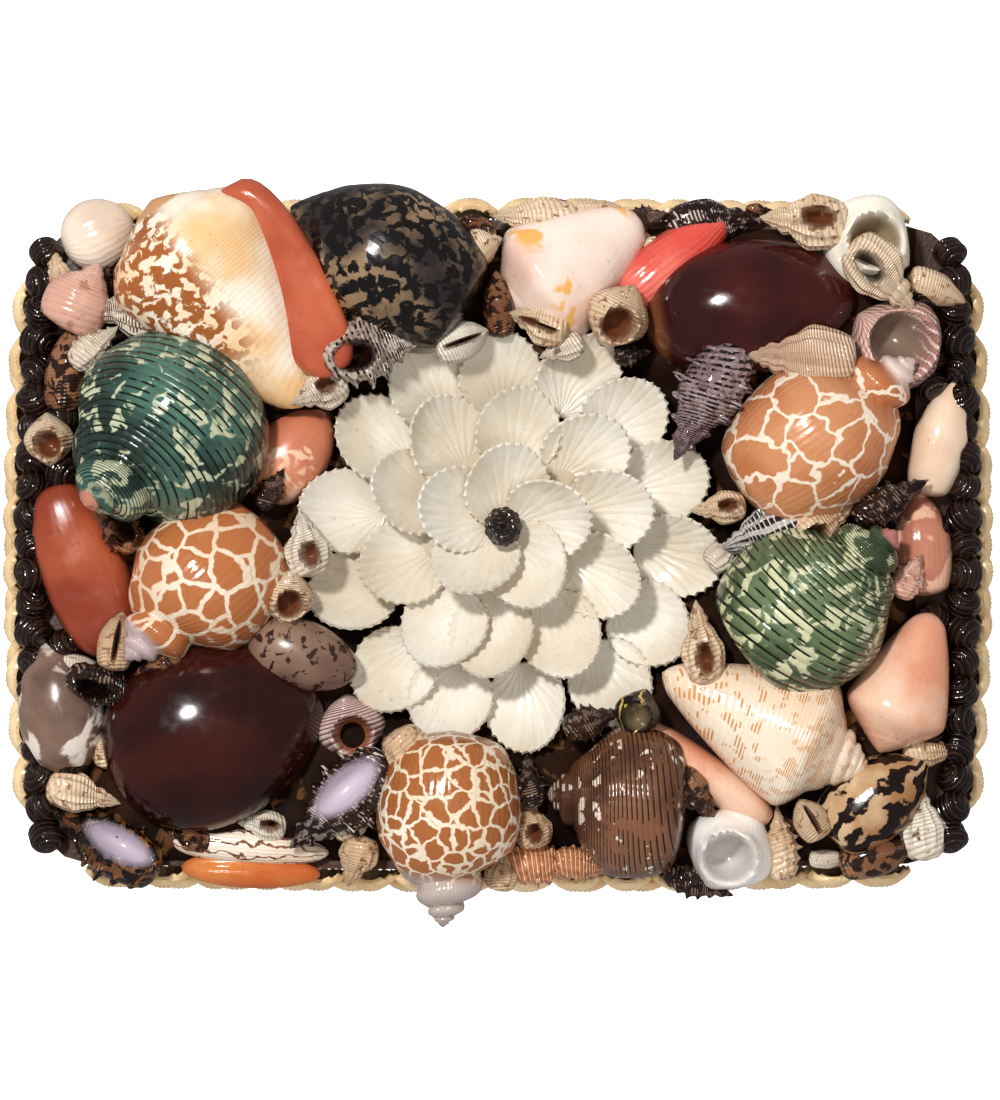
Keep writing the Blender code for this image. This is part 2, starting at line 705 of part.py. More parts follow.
def petal_body():
    """Return one cockle valve, hollow side up, its edge towards +X and its hinge narrower."""
    body = bmesh.new()
    belly = PETAL_DEPTH * PETAL_MIDDLE ** 2
    profile = (
        (0, PETAL_THICKNESS),
        (PETAL_MIDDLE, PETAL_THICKNESS + belly),
        (1, PETAL_THICKNESS + PETAL_DEPTH),
        (PETAL_MIDDLE, 0),
        (0, 0),
    )
    points = [body.verts.new((reach, 0, height)) for reach, height in profile]
    edges = [body.edges.new(pair) for pair in zip(points, points[1:])]
    bmesh.ops.spin(
        body, geom=points + edges, cent=(0, 0, 0), axis=(0, 0, 1), angle=2 * math.pi, steps=PETAL_SIDES
    )
    bmesh.ops.remove_doubles(body, verts=body.verts, dist=PETAL_WELD)
    for vert in body.verts:
        vert.co.y *= PETAL_WIDTH / 2 * (1 + PETAL_TAPER * min(0.0, vert.co.x))
        vert.co.x *= PETAL_LENGTH / 2
    bmesh.ops.recalc_face_normals(body, faces=body.faces)
    return body


def placed_petal(ring, index):
    """Return one petal of a ring, raised at its edge and set round the flower's middle."""
    body = petal_body()
    place = (
        Matrix.Rotation(petal_heading(ring, index), 4, "Z")
        @ Matrix.Translation((ring.radius * FIT, 0, 0))
        @ Matrix.Rotation(math.radians(-PETAL_TILT), 4, "Y")
        @ Matrix.Scale(FIT, 4)
    )
    bmesh.ops.transform(body, matrix=place, verts=body.verts)
    return body


def petal_heading(ring, index):
    """Return the direction in which a petal points."""
    return math.radians(ring.start + 360 * index / ring.count)


def seat_ring(body, ring):
    """Lower a ring or a petal onto its layer of the flower."""
    centre = flower_centre()
    lowest = min(vert.co.z for vert in body.verts)
    floor = SHELL_BED - PETAL_SEAT + ring.tier * RING_STEP * FIT
    bmesh.ops.translate(body, verts=body.verts, vec=(centre.x, centre.y, floor - lowest))
    cut(body, Vector((0, 0, SHELL_BED)), Vector((0, 0, -1)))


def joined_ring(ring):
    """Return a ring of petals grown together where each meets the next."""
    whole = bmesh.new()
    for index in range(ring.count):
        body = placed_petal(ring, index)
        for side in (-1, 1):
            edge = petal_heading(ring, index) + side * math.pi / ring.count
            away = side * Vector((-math.sin(edge), math.cos(edge), 0))
            geometry = list(body.verts) + list(body.edges) + list(body.faces)
            bmesh.ops.bisect_plane(
                body, geom=geometry, dist=CUT_TOLERANCE, plane_co=(0, 0, 0), plane_no=away, clear_outer=True
            )
        mesh = bpy.data.meshes.new(ring.name)
        body.to_mesh(mesh)
        body.free()
        whole.from_mesh(mesh)
        bpy.data.meshes.remove(mesh)
    bmesh.ops.remove_doubles(whole, verts=whole.verts, dist=RING_WELD)
    return whole


def make_flower(parts):
    """Make the flower's rings of petals and its button."""
    centre = flower_centre()
    for ring in RINGS:
        if ring.joined:
            body = joined_ring(ring)
            seat_ring(body, ring)
            add_object(ring.name, mesh_from(body, ring.name), parts, WHITE)
            continue
        petals = {}
        for index in range(ring.count):
            name = f"{ring.name}_{index + 1}"
            petals[name] = placed_petal(ring, index)
            seat_ring(petals[name], ring)
        part_neighbours(petals)
        for name, body in petals.items():
            add_object(name, mesh_from(body, name), parts, WHITE)
    button = bmesh.new()
    bmesh.ops.create_icosphere(button, subdivisions=2, radius=0.5)
    for vert in button.verts:
        vert.co.x *= BUTTON_DIAMETER * FIT
        vert.co.y *= BUTTON_DIAMETER * FIT
        vert.co.z *= BUTTON_HEIGHT * FIT * BUTTON_STRETCH
    seat = SHELL_BED + (2 * RING_STEP + BUTTON_RISE) * FIT
    lift = BUTTON_HEIGHT * FIT * BUTTON_MIDDLE
    bmesh.ops.translate(button, verts=button.verts, vec=(centre.x, centre.y, seat + lift))
    cut(button, Vector((0, 0, seat)), Vector((0, 0, -1)))
    add_object("flower_button", mesh_from(button, "flower_button"), parts, DARK)


def main():
    clear_scene()
    parts = make_collection("shell_box")
    cutters = make_collection("shell_box_cutters")
    make_box(parts, cutters)
    make_lid(parts, cutters)
    make_beads(parts, cutters)
    make_cockles(parts, cutters)
    make_flower(parts)
    make_mosaic(parts)


main()
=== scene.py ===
"""Shell box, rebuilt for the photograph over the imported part.

Metres, +Z up, in the part's own frame. Every shell is modelled from a sphere or a grid that is
shaped in code, placed in its mesh and bedded on the lid.
"""

import logging
import math
from dataclasses import dataclass
from enum import Enum
from typing import Dict, List, Optional, Sequence, Tuple, Union

import bmesh
import bpy
import numpy as np
from mathutils import Matrix, Vector, noise


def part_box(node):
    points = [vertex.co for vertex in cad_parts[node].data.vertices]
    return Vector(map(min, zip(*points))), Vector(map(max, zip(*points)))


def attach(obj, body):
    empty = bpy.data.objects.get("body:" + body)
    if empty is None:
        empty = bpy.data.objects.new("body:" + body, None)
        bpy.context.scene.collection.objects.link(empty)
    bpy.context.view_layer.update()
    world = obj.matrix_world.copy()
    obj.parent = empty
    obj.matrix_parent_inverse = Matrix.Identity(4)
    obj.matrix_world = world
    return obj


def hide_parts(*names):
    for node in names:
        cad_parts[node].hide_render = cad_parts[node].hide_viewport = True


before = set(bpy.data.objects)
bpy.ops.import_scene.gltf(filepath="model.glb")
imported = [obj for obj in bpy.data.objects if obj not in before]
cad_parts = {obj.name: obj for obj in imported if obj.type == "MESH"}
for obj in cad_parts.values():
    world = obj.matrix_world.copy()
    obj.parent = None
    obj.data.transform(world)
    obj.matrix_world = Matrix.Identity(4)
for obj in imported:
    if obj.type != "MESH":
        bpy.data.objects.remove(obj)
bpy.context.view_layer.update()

logging.basicConfig(level=logging.INFO, format="%(message)s")
LOG = logging.getLogger("shell_box")

Colour = Tuple[float, float, float]
Value = Union[float, Colour, bpy.types.NodeSocket]

MM = 0.001
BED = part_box("babylonia_left")[0].z
LID_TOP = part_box("lid")[1].z
GLUE_DEPTH = 0.0004
SMOOTH_ANGLE = 50
COAT_ROUGHNESS = 0.06
GLINT = 0.5
DRY_GLINT = 0.15
BUMP_STRENGTH = 0.6
BUMP_DEPTH = 0.0006
GROOVE_WIDTH = 0.13
GROOVE_BREAKS = 0.46
GROOVE_RUN = 160.0
DASH_WIDTH = 0.26
GRIME = (0.05, 0.025, 0.015)
GRIME_SHARE = 0.25
# An aperture, as shares of a shell's width: how far down its top reaches and where its bowl
# starts. Then its rim, as shares of the aperture: where it is highest and how wide it is.
MOUTH_TOP = 0.18
MOUTH_LEVEL = 0.36
RIM_PLACE = 1.08
RIM_WIDTH = 0.14
# Small shells: how far they lean along and across, in degrees, and, in millimetres, the lift past
# which a shell lies on its neighbours and how much higher it then stands.
FILLER_PITCH = 6
FILLER_ROLL = 9
FILLER_RAISED = 5
FILLER_EXTRA = 3


def tone(red: int, green: int, blue: int) -> Colour:
    """Turn a colour seen on a screen, 0 to 255, into the linear values that a finish takes.

    Args:
        red, green, blue: the screen values.
    Returns:
        The linear colour.
    """
    linear = []
    for value in (red, green, blue):
        share = value / 255
        linear.append(share / 12.92 if share <= 0.04045 else ((share + 0.055) / 1.055) ** 2.4)
    return linear[0], linear[1], linear[2]


class Pattern(Enum):
    """How a shell's second colour is laid over its first."""

    PLAIN = "plain"
    BLOTCH = "blotch"
    NET = "net"
    CELLS = "cells"
    DASHES = "dashes"
    LINES = "lines"
    FLAMES = "flames"


@dataclass(frozen=True)
class Finish:
    """Colours, marks and relief of one kind of shell.

    base, mark, second: the ground, the marks over it and a large soft change of the ground.
    pattern, scale, cover, count: the marks' kind, size, share and number round or along.
    tip, tip_share: the colour of the narrow end and how far it reaches.
    mouth: the colour inside the aperture.
    cords, cord_depth, growth, growth_depth, grain: raised spiral lines, lines across and pits.
    gloss, coat: the roughness and how much varnish lies over it.
    mouth: the colour inside the aperture; near black by default, which is painted shade deep in the opening.
    groove: the colour between the raised spiral lines.
    edge: a line over the lid that the marks stop at: its direction outward and how far out.
    """

    name: str
    slot: str
    base: Colour
    mark: Optional[Colour] = None
    second: Optional[Colour] = None
    pattern: Pattern = Pattern.PLAIN
    scale: float = 200.0
    cover: float = 0.5
    count: float = 8.0
    tip: Optional[Colour] = None
    tip_share: float = 0.2
    # Near black: painted shade deep in the aperture.
    mouth: Colour = (0.02, 0.008, 0.005)
    cords: float = 0.0
    cord_depth: float = 0.0
    growth: float = 30.0
    growth_depth: float = 0.2
    grain: float = 0.15
    gloss: float = 0.16
    fade: float = 2.0
    groove: Optional[Colour] = None
    coat: float = 0.35
    edge: Optional[Tuple[float, float, float]] = None


class Graph:
    """Adds and links nodes in one node tree."""

    def __init__(self, tree: bpy.types.NodeTree) -> None:
        """Take the tree that the nodes go into."""
        self.tree = tree

    def add(self, kind: str, **inputs: Value) -> bpy.types.Node:
        """Add a node and set or link its inputs.

        Args:
            kind: the node's type, without its leading word.
            inputs: values or sockets by input name, with spaces written as underscores.
        Returns:
            The node.
        """
        node = self.tree.nodes.new("ShaderNode" + kind)
        for name, value in inputs.items():
            self.put(node.inputs[name.replace("_", " ")], value)
        return node

    def place(self) -> bpy.types.NodeSocket:
        """Return the surface's place in the piece."""
        return self.add("TexCoord").outputs["Object"]

    def unrolled(self) -> bpy.types.Node:
        """Return the piece's own map, split into the turn and the spiral."""
        return self.add("SeparateXYZ", Vector=self.add("UVMap").outputs[0])

    def share(self, name: str) -> bpy.types.NodeSocket:
        """Return a number stored on the piece's points."""
        node = self.add("Attribute")
        node.attribute_name = name
        return node.outputs["Fac"]

    def put(self, socket: bpy.types.NodeSocket, value: Value) -> None:
        """Set a socket to a value, or link another socket to it."""
        if isinstance(value, bpy.types.NodeSocket):
            self.tree.links.new(value, socket)
        else:
            socket.default_value = value

    def math(self, operation: str, *values: Value) -> bpy.types.NodeSocket:
        """Add a math node.

        Args:
            operation: the operation's name.
            values: one to three values or sockets.
        Returns:
            The result's socket.
        """
        node = self.tree.nodes.new("ShaderNodeMath")
        node.operation = operation
        for socket, value in zip(node.inputs, values):
            self.put(socket, value)
        return node.outputs[0]

    def step(self, value: Value, low: Value, high: Value) -> bpy.types.NodeSocket:
        """Return a smooth step of a value from 0 at low to 1 at high."""
        node = self.tree.nodes.new("ShaderNodeMapRange")
        node.interpolation_type = "SMOOTHSTEP"
        for socket, given in zip(node.inputs, (value, low, high, 0.0, 1.0)):
            self.put(socket, given)
        return node.outputs[0]

    def mix(self, factor: Value, first: Value, second: Value) -> bpy.types.NodeSocket:
        """Return a blend of two colours."""
        node = self.tree.nodes.new("ShaderNodeMix")
        node.data_type = "RGBA"
        self.put(node.inputs[0], factor)
        for socket, given in ((node.inputs[6], first), (node.inputs[7], second)):
            self.put(socket, (*given, 1.0) if isinstance(given, tuple) else given)
        return node.outputs[2]


class Shelf:
    """Node groups that the finishes share. Each gives a mask or a height."""

    def __init__(self) -> None:
        """Build every group."""
        self.groups: Dict[str, bpy.types.NodeTree] = {}
        self.build_field()
        self.build_cells()
        self.build_spiral()
        self.build_across()
        self.build_relief()

    def start(self, name: str, inputs: Sequence[str], output: str) -> Tuple[Graph, Dict, bpy.types.Node]:
        """Open a new group.

        Args:
            name: the group's name.
            inputs: the names of its number inputs.
            output: the name of its number output.
        Returns:
            The graph, its input sockets by name and its output node.
        """
        tree = bpy.data.node_groups.new(name, "ShaderNodeTree")
        for item in inputs:
            tree.interface.new_socket(item, in_out="INPUT", socket_type="NodeSocketFloat")
        tree.interface.new_socket(output, in_out="OUTPUT", socket_type="NodeSocketFloat")
        graph = Graph(tree)
        entry = tree.nodes.new("NodeGroupInput")
        leave = tree.nodes.new("NodeGroupOutput")
        self.groups[name] = tree
        return graph, {item: entry.outputs[item] for item in inputs}, leave

    def build_field(self) -> None:
        """Soft-edged blotches of noise."""
        graph, given, leave = self.start("blotches", ("Scale", "Cover", "Soft", "Bend"), "Mask")
        place = graph.place()
        cloud = graph.add(
            "TexNoise", Vector=place, Scale=given["Scale"], Detail=4.0, Distortion=given["Bend"]
        )
        low = graph.math("SUBTRACT", given["Cover"], given["Soft"])
        high = graph.math("ADD", given["Cover"], given["Soft"])
        graph.put(leave.inputs[0], graph.step(cloud.outputs[0], low, high))

    def build_cells(self) -> None:
        """Thin lines between rounded cells."""
        graph, given, leave = self.start("cell_lines", ("Scale", "Width", "Bend"), "Mask")
        place = graph.place()
        size = graph.math("MULTIPLY", given["Scale"], 1.7)
        cloud = graph.add("TexNoise", Vector=place, Scale=size, Detail=2.0)
        shift = graph.tree.nodes.new("ShaderNodeVectorMath")
        shift.operation = "MULTIPLY_ADD"
        graph.put(shift.inputs[0], cloud.outputs[1])
        graph.put(shift.inputs[1], given["Bend"])
        graph.put(shift.inputs[2], place)
        cells = graph.add("TexVoronoi", Vector=shift.outputs[0], Scale=given["Scale"])
        cells.feature = "DISTANCE_TO_EDGE"
        wide = graph.math("MULTIPLY", given["Width"], 1.8)
        line = graph.step(cells.outputs["Distance"], given["Width"], wide)
        graph.put(leave.inputs[0], graph.math("SUBTRACT", 1.0, line))

    def build_spiral(self) -> None:
        """Lines that follow the whorls, whole or broken into dashes."""
        graph, given, leave = self.start("spiral_lines", ("Count", "Width", "Breaks", "Long"), "Mask")
        unrolled = graph.unrolled()
        wave = graph.math("PINGPONG", graph.math("MULTIPLY", unrolled.outputs[1], given["Count"]), 0.5)
        line = graph.step(wave, graph.math("MULTIPLY", given["Width"], 0.8), given["Width"])
        place = graph.place()
        cloud = graph.add("TexNoise", Vector=place, Scale=given["Long"], Detail=3.0)
        kept = graph.step(cloud.outputs[0], graph.math("SUBTRACT", given["Breaks"], 0.03), given["Breaks"])
        graph.put(leave.inputs[0], graph.math("MULTIPLY", graph.math("SUBTRACT", 1.0, line), kept))

    def build_across(self) -> None:
        """Wavy stripes along the growth lines."""
        graph, given, leave = self.start("axial_stripes", ("Count", "Width", "Bend", "Scale"), "Mask")
        unrolled = graph.unrolled()
        place = graph.place()
        cloud = graph.add("TexNoise", Vector=place, Scale=given["Scale"], Detail=3.0)
        turn = graph.math("MULTIPLY", unrolled.outputs[0], given["Count"])
        turn = graph.math("ADD", turn, graph.math("MULTIPLY", cloud.outputs[0], given["Bend"]))
        wave = graph.math("PINGPONG", turn, 0.5)
        line = graph.step(wave, graph.math("MULTIPLY", given["Width"], 0.75), given["Width"])
        graph.put(leave.inputs[0], graph.math("SUBTRACT", 1.0, line))

    def build_relief(self) -> None:
        """Height of the cords, the growth lines and the fine pits."""
        names = ("Cords", "Cord Depth", "Growth", "Growth Depth", "Grain")
        graph, given, leave = self.start("shell_relief", names, "Height")
        unrolled = graph.unrolled()
        place = graph.place()
        wave = graph.math("PINGPONG", graph.math("MULTIPLY", unrolled.outputs[1], given["Cords"]), 0.5)
        cord = graph.math("SINE", graph.math("MULTIPLY", wave, math.pi))
        cord = graph.math("MULTIPLY", cord, given["Cord Depth"])
        slow = graph.add("TexNoise", Vector=place, Scale=90.0, Detail=2.0)
        turn = graph.math("MULTIPLY", unrolled.outputs[0], given["Growth"])
        turn = graph.math("ADD", turn, graph.math("MULTIPLY", slow.outputs[0], 1.5))
        line = graph.math("MULTIPLY", graph.math("PINGPONG", turn, 0.5), given["Growth Depth"])
        fine = graph.add("TexNoise", Vector=place, Scale=900.0, Detail=3.0)
        pits = graph.math("MULTIPLY", fine.outputs[0], given["Grain"])
        graph.put(leave.inputs[0], graph.math("ADD", graph.math("ADD", cord, line), pits))


class Paint:
    """Makes each finish's material once and hands it out."""

    def __init__(self, shelf: Shelf) -> None:
        """Take the groups that the materials share."""
        self.shelf = shelf
        self.made: Dict[str, bpy.types.Material] = {}

    def group(self, graph: Graph, name: str, **values: Value) -> bpy.types.NodeSocket:
        """Add a shared group and return its result."""
        node = graph.tree.nodes.new("ShaderNodeGroup")
        node.node_tree = self.shelf.groups[name]
        for key, value in values.items():
            graph.put(node.inputs[key.replace("_", " ")], value)
        return node.outputs[0]

    def mask(self, graph: Graph, finish: Finish) -> bpy.types.NodeSocket:
        """Return the mask of a finish's marks."""
        scale, cover, count = finish.scale, finish.cover, finish.count
        if finish.pattern is Pattern.BLOTCH:
            return self.group(graph, "blotches", Scale=scale, Cover=cover, Soft=0.03, Bend=0.6)
        if finish.pattern is Pattern.NET:
            return self.group(graph, "cell_lines", Scale=scale, Width=cover, Bend=0.008)
        if finish.pattern is Pattern.CELLS:
            lines = self.group(graph, "cell_lines", Scale=scale, Width=cover, Bend=0.003)
            return graph.math("SUBTRACT", 1.0, lines)
        if finish.pattern is Pattern.DASHES:
            return self.group(graph, "spiral_lines", Count=count, Width=DASH_WIDTH, Breaks=cover, Long=scale)
        if finish.pattern is Pattern.LINES:
            return self.group(graph, "spiral_lines", Count=count, Width=cover, Breaks=0.0, Long=scale)
        return self.group(graph, "axial_stripes", Count=count, Width=cover, Bend=2.0, Scale=scale)

    def beside(self, graph: Graph, across: float, along: float, place: float) -> bpy.types.NodeSocket:
        """Return a mask that is 0 past a line over the lid.

        Args:
            graph: the material's graph.
            across, along: the line's direction outward, in X and in Y.
            place: how far out the line runs.
        Returns:
            The mask.
        """
        spot = graph.add("SeparateXYZ", Vector=graph.place())
        reach = graph.math("MULTIPLY", spot.outputs[0], across)
        reach = graph.math("ADD", reach, graph.math("MULTIPLY", spot.outputs[1], along))
        return graph.math("SUBTRACT", 1.0, graph.step(reach, place - 0.005, place + 0.003))

    def give(self, finish: Finish) -> bpy.types.Material:
        """Return the material of a finish.

        Args:
            finish: the finish.
        Returns:
            The material, made at its first use.
        """
        if finish.name in self.made:
            return self.made[finish.name]
        material = bpy.data.materials.new(finish.name)
        material.use_nodes = True
        graph = Graph(material.node_tree)
        shader = material.node_tree.nodes["Principled BSDF"]
        soft = self.group(graph, "blotches", Scale=45.0, Cover=0.5, Soft=0.14, Bend=0.2)
        second = finish.second or tuple(value * 0.8 for value in finish.base)
        colour = graph.mix(soft, finish.base, second)
        along = graph.share("along")
        if finish.mark is not None:
            mask = self.mask(graph, finish)
            if finish.fade < 1:
                far = graph.step(along, finish.fade - 0.25, finish.fade)
                mask = graph.math("MULTIPLY", mask, graph.math("SUBTRACT", 1.0, far))
            if finish.edge is not None:
                mask = graph.math("MULTIPLY", mask, self.beside(graph, *finish.edge))
            colour = graph.mix(mask, colour, finish.mark)
        if finish.groove is not None:
            lines = self.group(
                graph,
                "spiral_lines",
                Count=finish.cords,
                Width=GROOVE_WIDTH,
                Breaks=GROOVE_BREAKS,
                Long=GROOVE_RUN,
            )
            colour = graph.mix(lines, colour, finish.groove)
        if finish.tip is not None:
            near = graph.step(along, finish.tip_share * 0.7, finish.tip_share)
            colour = graph.mix(near, finish.tip, colour)
        # The aperture takes the mouth colour; where that is dark, it is painted shade in the opening.
        inside = graph.share("mouth")
        colour = graph.mix(inside, colour, finish.mouth)
        grime = self.group(graph, "blotches", Scale=700.0, Cover=0.70, Soft=0.03, Bend=0.0)
        colour = graph.mix(graph.math("MULTIPLY", grime, GRIME_SHARE), colour, GRIME)
        graph.put(shader.inputs["Base Color"], colour)
        wear = self.group(graph, "blotches", Scale=130.0, Cover=0.55, Soft=0.12, Bend=0.3)
        rough = graph.math("MULTIPLY_ADD", wear, 0.14, finish.gloss)
        graph.put(shader.inputs["Roughness"], rough)
        shader.inputs["Coat Weight"].default_value = finish.coat
        shader.inputs["Coat Roughness"].default_value = COAT_ROUGHNESS
        shader.inputs["Specular IOR Level"].default_value = GLINT if finish.coat else DRY_GLINT
        height = self.group(
            graph,
            "shell_relief",
            Cords=finish.cords,
            Cord_Depth=finish.cord_depth,
            Growth=finish.growth,
            Growth_Depth=finish.growth_depth,
            Grain=finish.grain,
        )
        height = graph.math("MULTIPLY", height, graph.math("SUBTRACT", 1.0, inside))
        bump = graph.add("Bump", Strength=BUMP_STRENGTH, Distance=BUMP_DEPTH, Height=height)
        graph.put(shader.inputs["Normal"], bump.outputs[0])
        self.made[finish.name] = material
        return material


